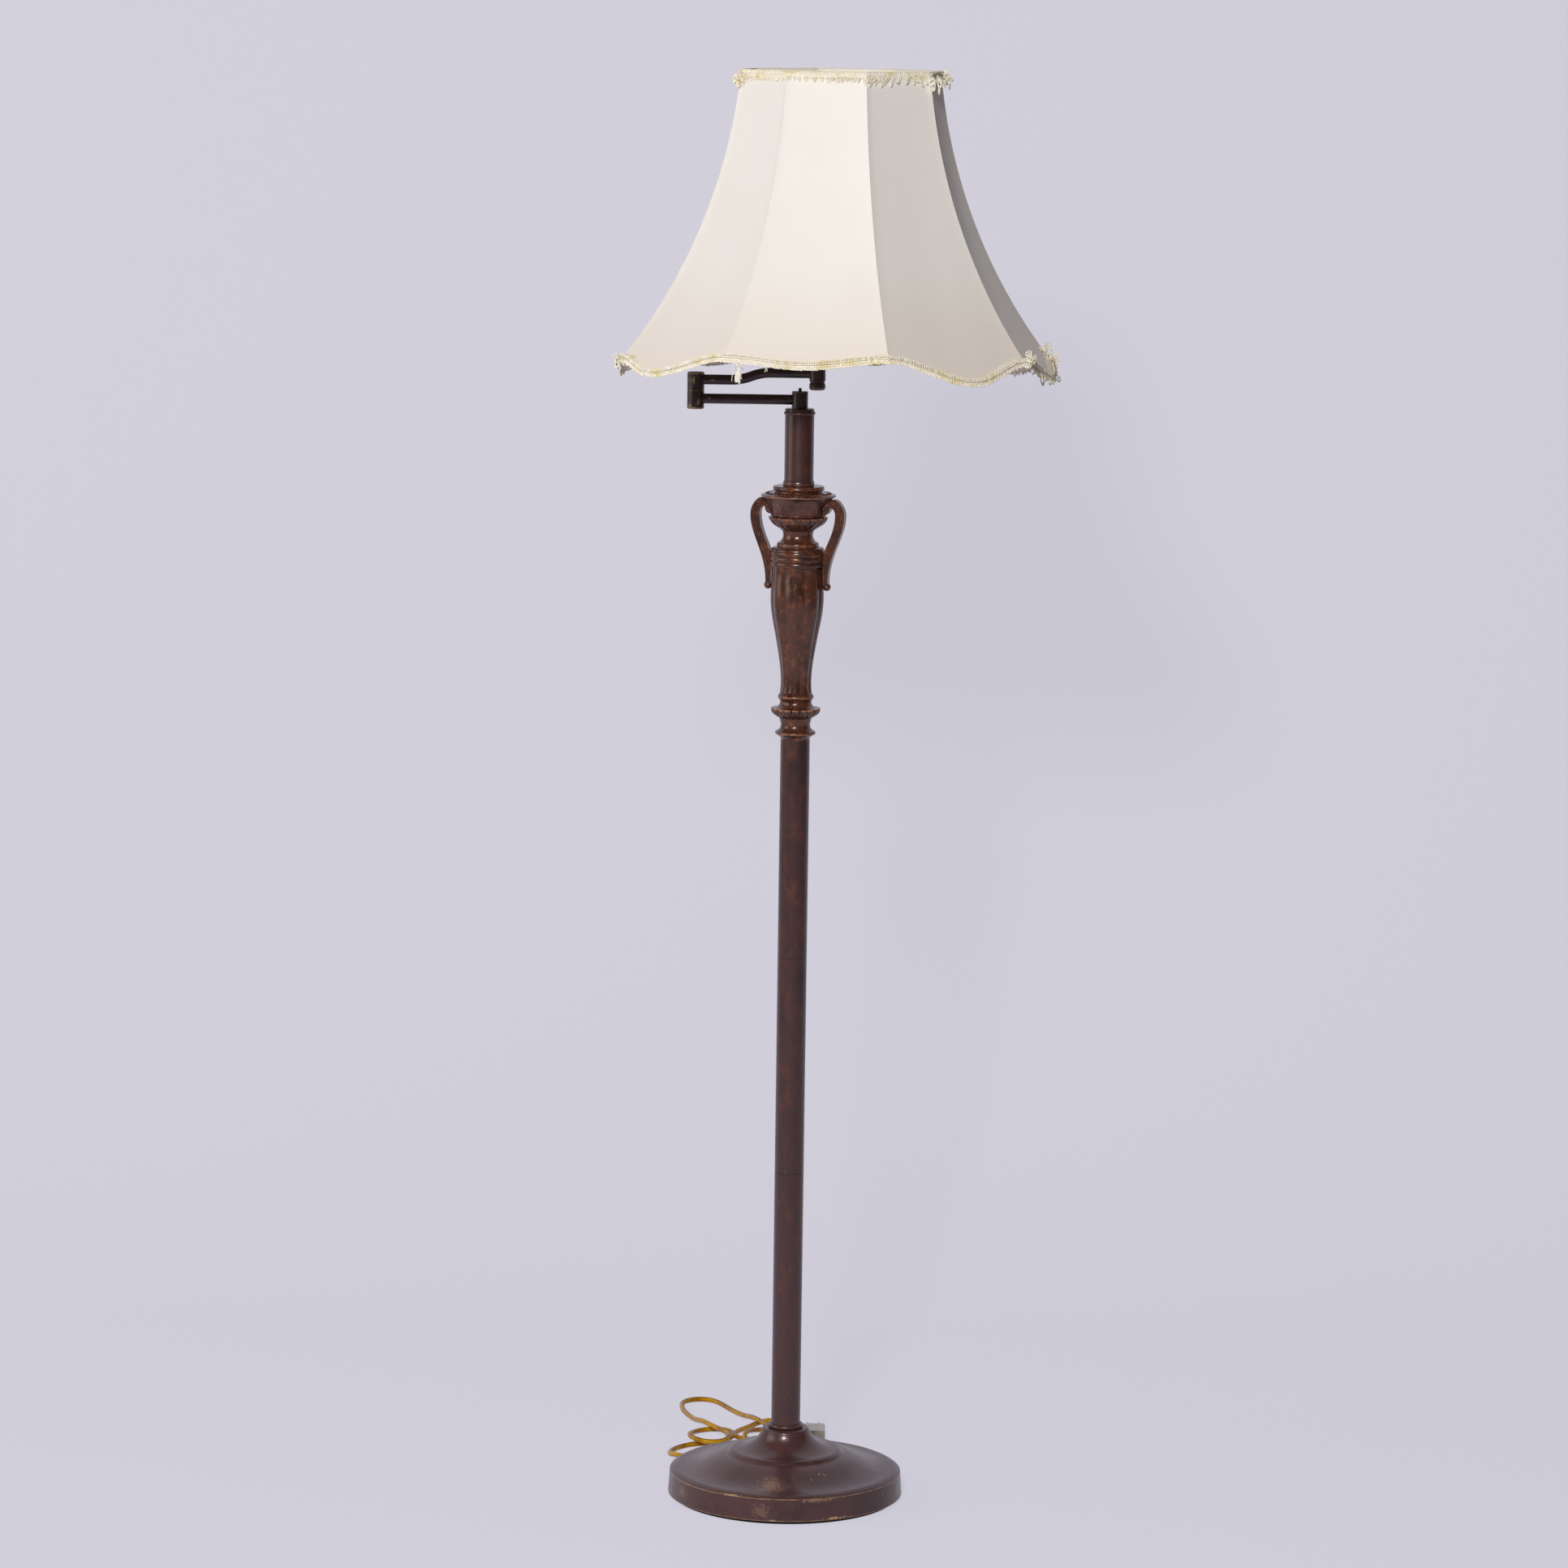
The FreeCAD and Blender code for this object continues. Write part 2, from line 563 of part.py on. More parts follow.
def make_inner_lead():
    """The cord inside the lamp, from the bushing to the swivel stem."""
    out = bushing_direction()
    start = out * (COVER_EDGE_RADIUS + BUSHING_LENGTH - 2.0) + V(0, 0, BUSHING_LEVEL)
    before_bend = out * LEAD_BEND + V(0, 0, BUSHING_LEVEL)
    after_bend = V(0, 0, BUSHING_LEVEL + LEAD_BEND)
    slant = LEAD_BEND * (1 - math.sqrt(0.5))
    middle = out * slant + V(0, 0, BUSHING_LEVEL + slant)
    edges = [Part.LineSegment(start, before_bend).toShape(),
             Part.Arc(before_bend, middle, after_bend).toShape(),
             Part.LineSegment(after_bend, V(0, 0, HUB_FOOT)).toShape()]
    return piped(edges, LEAD_RADIUS)


# ================================================================ pole
def pole_tube(foot, top):
    """One length of the pole."""
    return rod(POLE_RADIUS, foot, top, POLE_RADIUS - POLE_WALL)


def pole_plugs(foot, top):
    """The two threaded plugs that close one length of the pole."""
    radius = POLE_RADIUS - POLE_WALL - FIT
    lower = rod(radius, foot, foot + PLUG_THICKNESS, ROD_RADIUS + FIT)
    upper = rod(radius, top - PLUG_THICKNESS, top, ROD_RADIUS + FIT)
    return Part.makeCompound([lower, upper])


def make_pole_couplers():
    """The short threaded rods at the two joints of the pole."""
    return Part.makeCompound([
        rod(ROD_RADIUS, joint - NIPPLE_GRIP, joint + NIPPLE_GRIP, ROD_BORE)
        for joint in (MIDDLE_FOOT, UPPER_FOOT)])


# ================================================================ urn
def make_gadroon_collar():
    """The turned collar on the pole with its gadrooned ring."""
    foot, top = COLLAR_FOOT, VASE_FOOT
    bore = ROD_RADIUS + FIT
    ring_foot, ring_top = foot + 0.53 * COLLAR_HEIGHT, foot + 0.765 * COLLAR_HEIGHT
    collar = spun(
        line((bore, foot), (POLE_RADIUS - 0.2, foot), (POLE_RADIUS - 0.2, foot + 1.6)),
        arc((POLE_RADIUS - 0.2, foot + 1.6), (POLE_RADIUS + 0.9, foot + 3.2),
            (COLLAR_RING_RADIUS - 0.8, foot + 6.0)),
        arc((COLLAR_RING_RADIUS - 0.8, foot + 6.0), (COLLAR_RING_RADIUS, foot + 7.7),
            (COLLAR_RING_RADIUS - 0.8, foot + 9.4)),
        arc((COLLAR_RING_RADIUS - 0.8, foot + 9.4), (COLLAR_COVE_RADIUS + 0.7, foot + 13.0),
            (COLLAR_COVE_RADIUS, foot + 17.5)),
        line((COLLAR_COVE_RADIUS, foot + 17.5), (COLLAR_COVE_RADIUS + 1.6, ring_foot),
             (COLLAR_COVE_RADIUS, ring_foot), (COLLAR_COVE_RADIUS, ring_top), (GADROON_RADIUS - 3.0, ring_top)),
        arc((GADROON_RADIUS - 3.0, ring_top), (COLLAR_COVE_RADIUS + 2.5, ring_top + 2.6),
            (COLLAR_COVE_RADIUS + 0.9, ring_top + 7.0)),
        line((COLLAR_COVE_RADIUS + 0.9, ring_top + 7.0), (VASE_FOOT_RADIUS - 0.6, top), (bore, top)))
    ring = lobed_body([(COLLAR_COVE_RADIUS + 1.7, ring_foot), (GADROON_RADIUS - 3.4, ring_foot + 3.4),
                       (GADROON_RADIUS - 0.6, ring_foot + 6.6), (GADROON_RADIUS, ring_top)],
                      GADROON_DEPTH, GADROON_COUNT, 0.0)
    return collar.fuse(ring.cut(rod(COLLAR_COVE_RADIUS - 1.0, ring_foot, ring_top))).removeSplitter()


def make_vase_body():
    """The fluted vase with the reeded band and shoulder above its flutes."""
    foot = VASE_FOOT
    band_top = CUP_FOOT - 3.6
    band_foot = band_top - REED_COUNT * REED_HEIGHT
    flute_foot, flute_top = foot + 6.0, band_foot
    run = flute_top - flute_foot
    groove = REED_RADIUS - REED_DEPTH
    bore = ROD_RADIUS + FIT
    first = -90.0 + VASE_FLUTE_TURN
    flutes = lobed_body([(VASE_WAIST_RADIUS + 0.5, flute_foot),
                         (VASE_WAIST_RADIUS, flute_foot + 0.13 * run),
                         (VASE_WAIST_RADIUS + 3.4, flute_foot + 0.335 * run),
                         (VASE_WAIST_RADIUS + 8.1, flute_foot + 0.525 * run),
                         (VASE_BELLY_RADIUS - 0.4, flute_foot + 0.675 * run),
                         (VASE_BELLY_RADIUS, flute_foot + 0.80 * run),
                         (VASE_BELLY_RADIUS - 0.5, flute_top)],
                        VASE_FLUTE_DEPTH, VASE_FLUTES, first)
    base = spun(
        line((bore, foot), (VASE_FOOT_RADIUS - 0.6, foot)),
        arc((VASE_FOOT_RADIUS - 0.6, foot), (VASE_FOOT_RADIUS, foot + 1.6), (VASE_FOOT_RADIUS - 0.8, foot + 3.4)),
        line((VASE_FOOT_RADIUS - 0.8, foot + 3.4), (VASE_WAIST_RADIUS, flute_foot + 0.5),
             (bore, flute_foot + 0.5)))
    reeds = []
    for index in range(REED_COUNT):
        low = band_foot + index * REED_HEIGHT
        reeds.append(arc((groove, low), (REED_RADIUS, low + REED_HEIGHT / 2), (groove, low + REED_HEIGHT)))
    band = spun(line((bore, band_foot - 1.0), (VASE_BELLY_RADIUS - 2.0, band_foot - 1.0), (groove, band_foot)),
                *reeds,
                arc((groove, band_top), (groove - 0.8, band_top + 2.2), (VASE_SHOULDER_RADIUS, CUP_FOOT)),
                line((VASE_SHOULDER_RADIUS, CUP_FOOT), (bore, CUP_FOOT)))
    vase = base.fuse([flutes, band])
    vase = vase.cut(rod(URN_CAVITY_RADIUS, foot + 9.0, CUP_FOOT - 8.0))
    return vase.cut(rod(bore, foot - 1.0, CUP_FOOT + 1.0)).removeSplitter()


def make_pedestal_cup():
    """The cup above the vase: a foot, a gadrooned bowl, a cove and a wide flange."""
    foot, top = CUP_FOOT, CUP_TOP
    bore = ROD_RADIUS + FIT
    bowl_foot, bowl_top = foot + 16.8, foot + 31.6
    cove_foot = bowl_top + 2.2
    flange_foot = top - CUP_FLANGE_THICKNESS - 1.8
    neck = CUP_NECK_RADIUS
    cup = spun(
        line((bore, foot), (CUP_FOOT_RADIUS, foot), (CUP_FOOT_RADIUS, foot + 2.6)),
        arc((CUP_FOOT_RADIUS, foot + 2.6), (CUP_FOOT_RADIUS - 0.4, foot + 4.2),
            (CUP_FOOT_RADIUS - 2.4, foot + 5.2)),
        arc((CUP_FOOT_RADIUS - 2.4, foot + 5.2), (neck + 0.7, foot + 9.0), (neck, foot + 13.5)),
        line((neck, foot + 13.5), (neck + 0.6, bowl_foot), (neck, bowl_foot), (neck, bowl_top),
             (CUP_COVE_RADIUS - 0.6, bowl_top), (CUP_COVE_RADIUS - 0.2, bowl_top + 1.0)),
        arc((CUP_COVE_RADIUS - 0.2, bowl_top + 1.0), (CUP_COVE_RADIUS + 1.0, cove_foot),
            (CUP_COVE_RADIUS, cove_foot + 1.3)),
        arc((CUP_COVE_RADIUS, cove_foot + 1.3), (CUP_COVE_RADIUS + 2.2, cove_foot + 9.5),
            (CUP_FLANGE_RADIUS - 1.5, flange_foot)),
        arc((CUP_FLANGE_RADIUS - 1.5, flange_foot), (CUP_FLANGE_RADIUS, flange_foot + 1.3),
            (CUP_FLANGE_RADIUS - 0.8, flange_foot + 2.6)),
        line((CUP_FLANGE_RADIUS - 0.8, flange_foot + 2.6), (CHECK_RING_RADIUS + 1.5, top), (bore, top)))
    bowl = lobed_body([(neck + 0.7, bowl_foot), (neck + 4.6, bowl_foot + 3.0),
                       (BOWL_RADIUS - 3.9, bowl_foot + 7.8), (BOWL_RADIUS - 1.1, bowl_foot + 11.6),
                       (BOWL_RADIUS, bowl_top)],
                      BOWL_GADROON_DEPTH, BOWL_GADROONS, 5.0)
    cup = cup.fuse(bowl.cut(rod(neck - 1.0, bowl_foot, bowl_top)))
    cup = cup.cut(rod(URN_CAVITY_RADIUS, foot + 6.0, top - 4.0))
    return cup.removeSplitter()


def make_check_ring():
    """The two-step disc between the cup and the neck."""
    radius = CHECK_RING_RADIUS
    return spun(
        line((ROD_RADIUS + FIT, CUP_TOP), (radius - 2.0, CUP_TOP), (radius - 2.0, CUP_TOP + 1.4),
             (radius, CUP_TOP + 2.4)),
        arc((radius, CUP_TOP + 2.4), (radius + 0.3, CUP_TOP + 4.3), (radius - 0.6, CHECK_TOP)),
        line((radius - 0.6, CHECK_TOP), (ROD_RADIUS + FIT, CHECK_TOP)))


def make_urn_rod():
    """The long threaded rod that holds the urn between the pole and the neck."""
    return rod(ROD_RADIUS, COLLAR_FOOT - NIPPLE_GRIP, STEM_FOOT, ROD_BORE)


def handle_blank():
    """One scroll handle in the X-Z plane, before it is fitted to the urn."""
    top, reach = CUP_TOP, HANDLE_REACH
    volute, radius = HANDLE_VOLUTE_CENTRE, HANDLE_VOLUTE_RADIUS
    volute_level = top - 16.8
    ball_level = CUP_FOOT - 39.8
    ball_x = VASE_BELLY_RADIUS + HANDLE_BALL_RADIUS - 0.4
    outer = curve((volute, volute_level + radius), (volute + 6.5, top - 7.4), (reach - 10.5, top - 6.5),
                  (reach - 4.3, top - 11.4), (reach - 0.5, top - 19.3), (reach, top - 27.0),
                  (reach - 4.8, top - 46.7), (reach - 13.3, top - 69.7), (ball_x + 2.6, top - 83.0),
                  (ball_x + 1.8, ball_level))
    inner = curve((ball_x - 3.4, ball_level), (ball_x - 3.8, top - 80.0), (reach - 21.6, top - 64.0),
                  (reach - 15.2, top - 47.5), (reach - 10.6, top - 32.0), (reach - 9.8, top - 24.0),
                  (reach - 11.6, top - 17.4), (reach - 14.6, top - 15.4), (volute + radius - 0.2, top - 18.6))
    band = closed_face(outer, inner).extrude(V(0, HANDLE_WIDTH, 0))
    band.translate(V(0, -HANDLE_WIDTH / 2, 0))
    scroll = Part.makeCylinder(radius, HANDLE_WIDTH + 1.6, V(volute, -HANDLE_WIDTH / 2 - 0.8, volute_level),
                               V(0, 1, 0))
    ball = Part.makeSphere(HANDLE_BALL_RADIUS, V(ball_x, 0, ball_level - 1.5))
    return band.fuse([scroll, ball]).removeSplitter()


def make_handle(blank, turn, urn):
    """A handle turned to its side of the urn and cut to seat on it."""
    handle = blank.copy()
    handle.rotate(V(0, 0, 0), V(0, 0, 1), turn)
    for piece in urn:
        handle = handle.cut(piece)
    return max(handle.Solids, key=lambda solid: solid.Volume)


# ================================================================ neck
def make_neck_foot():
    middle = (CHECK_TOP + NECK_FOOT) / 2
    return spun(
        line((ROD_RADIUS + FIT, CHECK_TOP), (NECK_FOOT_RADIUS - 0.4, CHECK_TOP)),
        arc((NECK_FOOT_RADIUS - 0.4, CHECK_TOP), (NECK_FOOT_RADIUS, middle - 1.0), (NECK_RADIUS, NECK_FOOT)),
        line((NECK_RADIUS, NECK_FOOT), (ROD_RADIUS + FIT, NECK_FOOT)))


def make_neck_tube():
    return rod(NECK_RADIUS, NECK_FOOT, NECK_TOP, NECK_RADIUS - NECK_WALL)


def make_neck_cap():
    """The turned cap with its bead and the spigot that fits the neck tube."""
    spigot = NECK_RADIUS - NECK_WALL - FIT
    bore, thread = STEM_RADIUS + FIT, ROD_RADIUS + FIT
    return spun(
        line((bore, STEM_FOOT), (thread, STEM_FOOT), (thread, NECK_TOP - NECK_SPIGOT),
             (spigot, NECK_TOP - NECK_SPIGOT), (spigot, NECK_TOP), (NECK_RADIUS, NECK_TOP),
             (NECK_RADIUS, NECK_TOP + 1.8)),
        arc((NECK_RADIUS, NECK_TOP + 1.8), (NECK_CAP_RADIUS, NECK_TOP + 3.7), (NECK_RADIUS, NECK_TOP + 5.6)),
        line((NECK_RADIUS, NECK_TOP + 5.6), (NECK_RADIUS, CAP_TOP - 0.6), (NECK_RADIUS - 0.6, CAP_TOP),
             (bore, CAP_TOP)))


def make_swivel_stem():
    """The hollow stem that the arm turns on; its head is held under the cap."""
    return rod(STEM_RADIUS, STEM_FOOT, STEM_TOP, STEM_BORE)


# ================================================================ swing arm
def arm_hole(level, x, direction):
    """The cutter for a tube's seat and the cord's way through in the side of a hub."""
    seat = Part.makeCylinder(ARM_RADIUS + FIT, HUB_RADIUS,
                             V(x + direction * (HUB_RADIUS - ARM_SOCKET_DEPTH), 0, level), V(direction, 0, 0))
    way = Part.makeCylinder(ARM_RADIUS - ARM_WALL, HUB_RADIUS, V(x, 0, level), V(direction, 0, 0))
    return seat.fuse(way)


def make_pole_hub():
    """The block that turns on the stem and carries the lower arm."""
    hub = spun(line((STEM_RADIUS + RUNNING, HUB_FOOT), (HUB_RADIUS, HUB_FOOT), (HUB_RADIUS, HUB_TOP - 0.5),
                    (HUB_RADIUS - 0.5, HUB_TOP), (0, HUB_TOP), (0, HUB_TOP - HUB_CROWN),
                    (STEM_RADIUS + RUNNING, HUB_TOP - HUB_CROWN)))
    hub = hub.cut(arm_hole(LOWER_TUBE_LEVEL, 0.0, -1))
    return hub.fuse(rod(HUB_PIN_RADIUS, HUB_TOP, HUB_TOP + HUB_PIN_HEIGHT))


def make_lower_arm_tube():
    start, end = HUB_RADIUS - ARM_SOCKET_DEPTH, LOWER_ARM_LENGTH - ELBOW_RADIUS + ARM_SOCKET_DEPTH
    place, way = V(-start, 0, LOWER_TUBE_LEVEL), V(-1, 0, 0)
    outside = Part.makeCylinder(ARM_RADIUS, end - start, place, way)
    return outside.cut(Part.makeCylinder(ARM_RADIUS - ARM_WALL, end - start, place, way))


def elbow_hole(level):
    """The cutter for a tube's seat and the cord's way through in the side of an elbow hub."""
    seat = Part.makeCylinder(ARM_RADIUS + FIT, ELBOW_RADIUS,
                             V(ELBOW_X + ELBOW_RADIUS - ARM_SOCKET_DEPTH, 0, level), V(1, 0, 0))
    way = Part.makeCylinder(ARM_RADIUS - ARM_WALL, ELBOW_RADIUS, V(ELBOW_X, 0, level), V(1, 0, 0))
    return seat.fuse(way)


def make_elbow_lower_hub():
    foot, top = ELBOW_FOOT, LOWER_ELBOW_TOP
    hub = spun(line((0, foot), (ELBOW_RADIUS - ELBOW_CHAMFER, foot), (ELBOW_RADIUS, foot + ELBOW_CHAMFER),
                    (ELBOW_RADIUS, top), (PIVOT_RADIUS + FIT, top), (PIVOT_RADIUS + FIT, top - PIVOT_DEPTH),
                    (0, top - PIVOT_DEPTH)), x=ELBOW_X)
    return hub.cut(elbow_hole(LOWER_TUBE_LEVEL))


def make_elbow_pivot():
    """The hollow pivot, fast in the lower hub, that the upper hub turns on."""
    pivot = rod(PIVOT_RADIUS, LOWER_ELBOW_TOP - PIVOT_DEPTH, UPPER_ELBOW_FOOT + PIVOT_DEPTH, PIVOT_BORE, x=ELBOW_X)
    lower_window = Part.makeCylinder(PIVOT_BORE, 2 * PIVOT_RADIUS, V(ELBOW_X, 0, LOWER_TUBE_LEVEL), V(1, 0, 0))
    upper_window = Part.makeCylinder(PIVOT_BORE, 2 * PIVOT_RADIUS, V(ELBOW_X, 0, UPPER_TUBE_LEVEL), V(1, 0, 0))
    return pivot.cut(lower_window).cut(upper_window)


def make_elbow_washer():
    return rod(ELBOW_RADIUS - 0.5, LOWER_ELBOW_TOP, LOWER_ELBOW_TOP + ELBOW_WASHER_THICKNESS,
               PIVOT_RADIUS + FIT, x=ELBOW_X)


def make_elbow_upper_hub():
    foot, top = UPPER_ELBOW_FOOT, UPPER_ELBOW_TOP
    bore_top = foot + PIVOT_DEPTH + BODY_GAP
    hub = spun(line((PIVOT_RADIUS + RUNNING, foot), (ELBOW_RADIUS, foot), (ELBOW_RADIUS, top - ELBOW_CHAMFER),
                    (ELBOW_RADIUS - ELBOW_CHAMFER, top), (0, top), (0, bore_top), (PIVOT_RADIUS + RUNNING, bore_top)),
               x=ELBOW_X)
    return hub.cut(elbow_hole(UPPER_TUBE_LEVEL))


def upper_arm_path():
    """The centre line of the upper arm: straight, a double bend upwards, straight."""
    start = ELBOW_X + ELBOW_RADIUS - ARM_SOCKET_DEPTH
    bend_start = ELBOW_X + BEND_START
    bend_middle, bend_end = bend_start + BEND_LENGTH / 2, bend_start + BEND_LENGTH
    end = SOCKET_X - BLOCK_RADIUS + ARM_SOCKET_DEPTH
    low, high = UPPER_TUBE_LEVEL, BLOCK_LEVEL
    half_angle = math.atan2(BEND_RISE, BEND_LENGTH)
    radius = BEND_LENGTH / 2 / math.sin(2 * half_angle)
    run, rise = radius * math.sin(half_angle), radius * (1 - math.cos(half_angle))
    middle = V(bend_middle, 0, (low + high) / 2)
    return [Part.LineSegment(V(start, 0, low), V(bend_start, 0, low)).toShape(),
            Part.Arc(V(bend_start, 0, low), V(bend_start + run, 0, low + rise), middle).toShape(),
            Part.Arc(middle, V(bend_end - run, 0, high - rise), V(bend_end, 0, high)).toShape(),
            Part.LineSegment(V(bend_end, 0, high), V(end, 0, high)).toShape()]


def make_upper_arm_tube():
    path = upper_arm_path()
    return piped(path, ARM_RADIUS).cut(piped(path, ARM_RADIUS - ARM_WALL))


def make_socket_block():
    """The round block at the end of the upper arm, under the socket."""
    bore = ROD_RADIUS + FIT
    block = spun(line((0, BLOCK_FOOT), (BLOCK_RADIUS - BLOCK_GROOVE, BLOCK_FOOT),
                      (BLOCK_RADIUS - BLOCK_GROOVE, BLOCK_FOOT + 0.7), (BLOCK_RADIUS, BLOCK_FOOT + 1.2),
                      (BLOCK_RADIUS, BLOCK_TOP - 0.4), (BLOCK_RADIUS - 0.4, BLOCK_TOP), (bore, BLOCK_TOP),
                      (bore, BLOCK_FOOT + 4.0), (0, BLOCK_FOOT + 4.0)), x=SOCKET_X)
    seat = Part.makeCylinder(ARM_RADIUS + FIT, BLOCK_RADIUS,
                             V(SOCKET_X - BLOCK_RADIUS + ARM_SOCKET_DEPTH, 0, BLOCK_LEVEL), V(-1, 0, 0))
    way = Part.makeCylinder(ARM_RADIUS - ARM_WALL, BLOCK_RADIUS, V(SOCKET_X, 0, BLOCK_LEVEL), V(-1, 0, 0))
    return block.cut(seat.fuse(way))


def make_block_cap():
    """The rounded screw cap under the block."""
    foot, top, radius = BLOCK_FOOT - BLOCK_CAP_HEIGHT, BLOCK_FOOT, BLOCK_RADIUS
    return spun(line((0, foot), (radius - 1.6, foot)),
                arc((radius - 1.6, foot), (radius - 0.3, foot + 1.4), (radius, foot + 3.6)),
                arc((radius, foot + 3.6), (radius - 0.2, top - 2.4), (radius - BLOCK_GROOVE, top - 0.9)),
                line((radius - BLOCK_GROOVE, top - 0.9), (radius - BLOCK_GROOVE, top), (0, top)), x=SOCKET_X)


# ================================================================ harp and socket
def make_socket_nipple():
    return rod(ROD_RADIUS, BLOCK_FOOT + 12.5, SADDLE_TOP + SOCKET_CAP_WALL + 2.5, ROD_BORE, x=SOCKET_X)


def make_harp_saddle():
    """The flat strip under the socket with its two upturned tabs."""
    half = HARP_FOOT + SADDLE_THICKNESS / 2
    corner = 2.0
    outline = closed_face(
        line((-half, TAB_TOP), (-half, BLOCK_TOP + corner)),
        arc((-half, BLOCK_TOP + corner), (-half + 0.3 * corner, BLOCK_TOP + 0.3 * corner),
            (-half + corner, BLOCK_TOP)),
        line((-half + corner, BLOCK_TOP), (half - corner, BLOCK_TOP)),
        arc((half - corner, BLOCK_TOP), (half - 0.3 * corner, BLOCK_TOP + 0.3 * corner),
            (half, BLOCK_TOP + corner)),
        line((half, BLOCK_TOP + corner), (half, TAB_TOP), (half - SADDLE_THICKNESS, TAB_TOP),
             (half - SADDLE_THICKNESS, SADDLE_TOP), (SADDLE_THICKNESS - half, SADDLE_TOP),
             (SADDLE_THICKNESS - half, TAB_TOP)))
    saddle = outline.extrude(V(0, SADDLE_WIDTH, 0))
    saddle.translate(V(SOCKET_X, -SADDLE_WIDTH / 2, 0))
    return saddle.cut(rod(ROD_RADIUS + FIT, BLOCK_TOP - 1, SADDLE_TOP + 1, x=SOCKET_X))


def harp_route():
    """The harp's wire from one foot over the top to the other."""
    straight = HARP_SLEEVE_LENGTH + 6.0
    top = HARP_HEIGHT - HARP_WIRE
    left = [(-HARP_FOOT, 0.0), (-HARP_FOOT, straight), (-HARP_WIDTH, straight + 42.0),
            (-HARP_WIDTH, 0.67 * HARP_HEIGHT), (-0.42 * HARP_WIDTH, top)]
    whole = left + [(-x, z) for x, z in reversed(left)]
    points = []
    for x, z in whole:
        lean = HARP_LEAN * max(0.0, z - straight) / (top - straight)
        points.append(V(SOCKET_X + x + lean, 0, TAB_TOP + z))
    return points


def make_harp():
    return piped(rounded_route(harp_route()), HARP_WIRE)


def make_harp_sleeves():
    """The two brass sleeves that lock the harp to its saddle."""
    return Part.makeCompound([
        rod(HARP_SLEEVE_RADIUS, TAB_TOP, TAB_TOP + HARP_SLEEVE_LENGTH, HARP_WIRE + FIT,
            x=SOCKET_X + side * HARP_FOOT)
        for side in (-1, 1)])


def make_harp_stud():
    """The plate on top of the harp with the threaded stud for the finial."""
    plate = rod(STUD_PLATE_RADIUS, HARP_TOP, SPIDER_FOOT, x=SHADE_X)
    return plate.fuse(rod(STUD_RADIUS, SPIDER_FOOT, SPIDER_FOOT + STUD_HEIGHT, x=SHADE_X))


def make_finial():
    """The turned cap nut that holds the shade."""
    foot, radius = SPIDER_TOP, FINIAL_RADIUS
    bore = STUD_RADIUS + FIT
    bore_top = SPIDER_FOOT + STUD_HEIGHT + 0.5
    return spun(line((bore, foot), (radius, foot), (radius, foot + 2.0), (radius - 2.2, foot + 3.2),
                     (radius - 2.2, foot + 5.0)),
                arc((radius - 2.2, foot + 5.0), (radius - 0.4, foot + 0.62 * FINIAL_HEIGHT),
                    (1.4, foot + FINIAL_HEIGHT)),
                line((1.4, foot + FINIAL_HEIGHT), (0, foot + FINIAL_HEIGHT), (0, bore_top), (bore, bore_top)),
                x=SHADE_X)


def make_socket_cap():
    """The spun cap at the foot of the socket."""
    foot, wall, radius = SADDLE_TOP, SOCKET_CAP_WALL, SOCKET_CAP_RADIUS
    rim, seat = foot + SOCKET_CAP_HEIGHT, foot + SOCKET_CAP_SEAT
    bore = ROD_RADIUS + FIT
    return spun(line((bore, foot), (9.0, foot)),
                arc((9.0, foot), (radius - 1.6, foot + 3.2), (radius, seat)),
                line((radius, seat), (radius, rim), (radius - wall, rim), (radius - wall, seat)),
                arc((radius - wall, seat), (radius - 1.6 - wall * 0.7, foot + 3.2 + wall * 0.7), (9.0, foot + wall)),
                line((9.0, foot + wall), (bore, foot + wall)), x=SOCKET_X)


def knob_way(radius, start, end):
    """A round bar along the knob's axis between two distances in front of the socket's axis."""
    return Part.makeCylinder(radius, end - start, V(SOCKET_X, -start, KNOB_LEVEL), V(0, -1, 0))


def make_socket_shell():
    shell = rod(SOCKET_RADIUS, SADDLE_TOP + SOCKET_CAP_HEIGHT - 4.5, SOCKET_MOUTH,
                SOCKET_RADIUS - SOCKET_WALL, x=SOCKET_X)
    bead = Part.makeTorus(SOCKET_RADIUS, 0.8, V(SOCKET_X, 0, SOCKET_MOUTH - 5.0))
    bead = bead.cut(rod(SOCKET_RADIUS - SOCKET_WALL, SADDLE_TOP, SOCKET_MOUTH, x=SOCKET_X))
    return shell.fuse(bead).cut(knob_way(KNOB_HOLE_RADIUS, 0.0, 2 * SOCKET_RADIUS))


def make_socket_liner():
    """The insulating sleeve between the shell and the core."""
    liner = rod(LINER_RADIUS, SADDLE_TOP + SOCKET_CAP_HEIGHT, SOCKET_MOUTH - 0.6,
                LINER_RADIUS - LINER_WALL, x=SOCKET_X)
    return liner.cut(knob_way(KNOB_HOLE_RADIUS, 0.0, 2 * SOCKET_RADIUS))


def make_socket_core():
    """The moulded switch body under the screw shell."""
    core = rod(SOCKET_CORE_RADIUS, CORE_FOOT, CORE_TOP, x=SOCKET_X)
    shaft_hole = knob_way(KNOB_SHAFT_RADIUS + RUNNING, SOCKET_CORE_RADIUS - KNOB_SHAFT_DEPTH - BODY_GAP,
                          SOCKET_CORE_RADIUS + 1.0)
    return core.cut(shaft_hole)


def make_screw_shell():
    """The screw shell that takes the bulb."""
    foot, top, radius = CORE_TOP, SOCKET_MOUTH - 1.0, SCREW_SHELL_RADIUS
    return rod(radius, foot, top, radius - SCREW_SHELL_WALL, x=SOCKET_X)


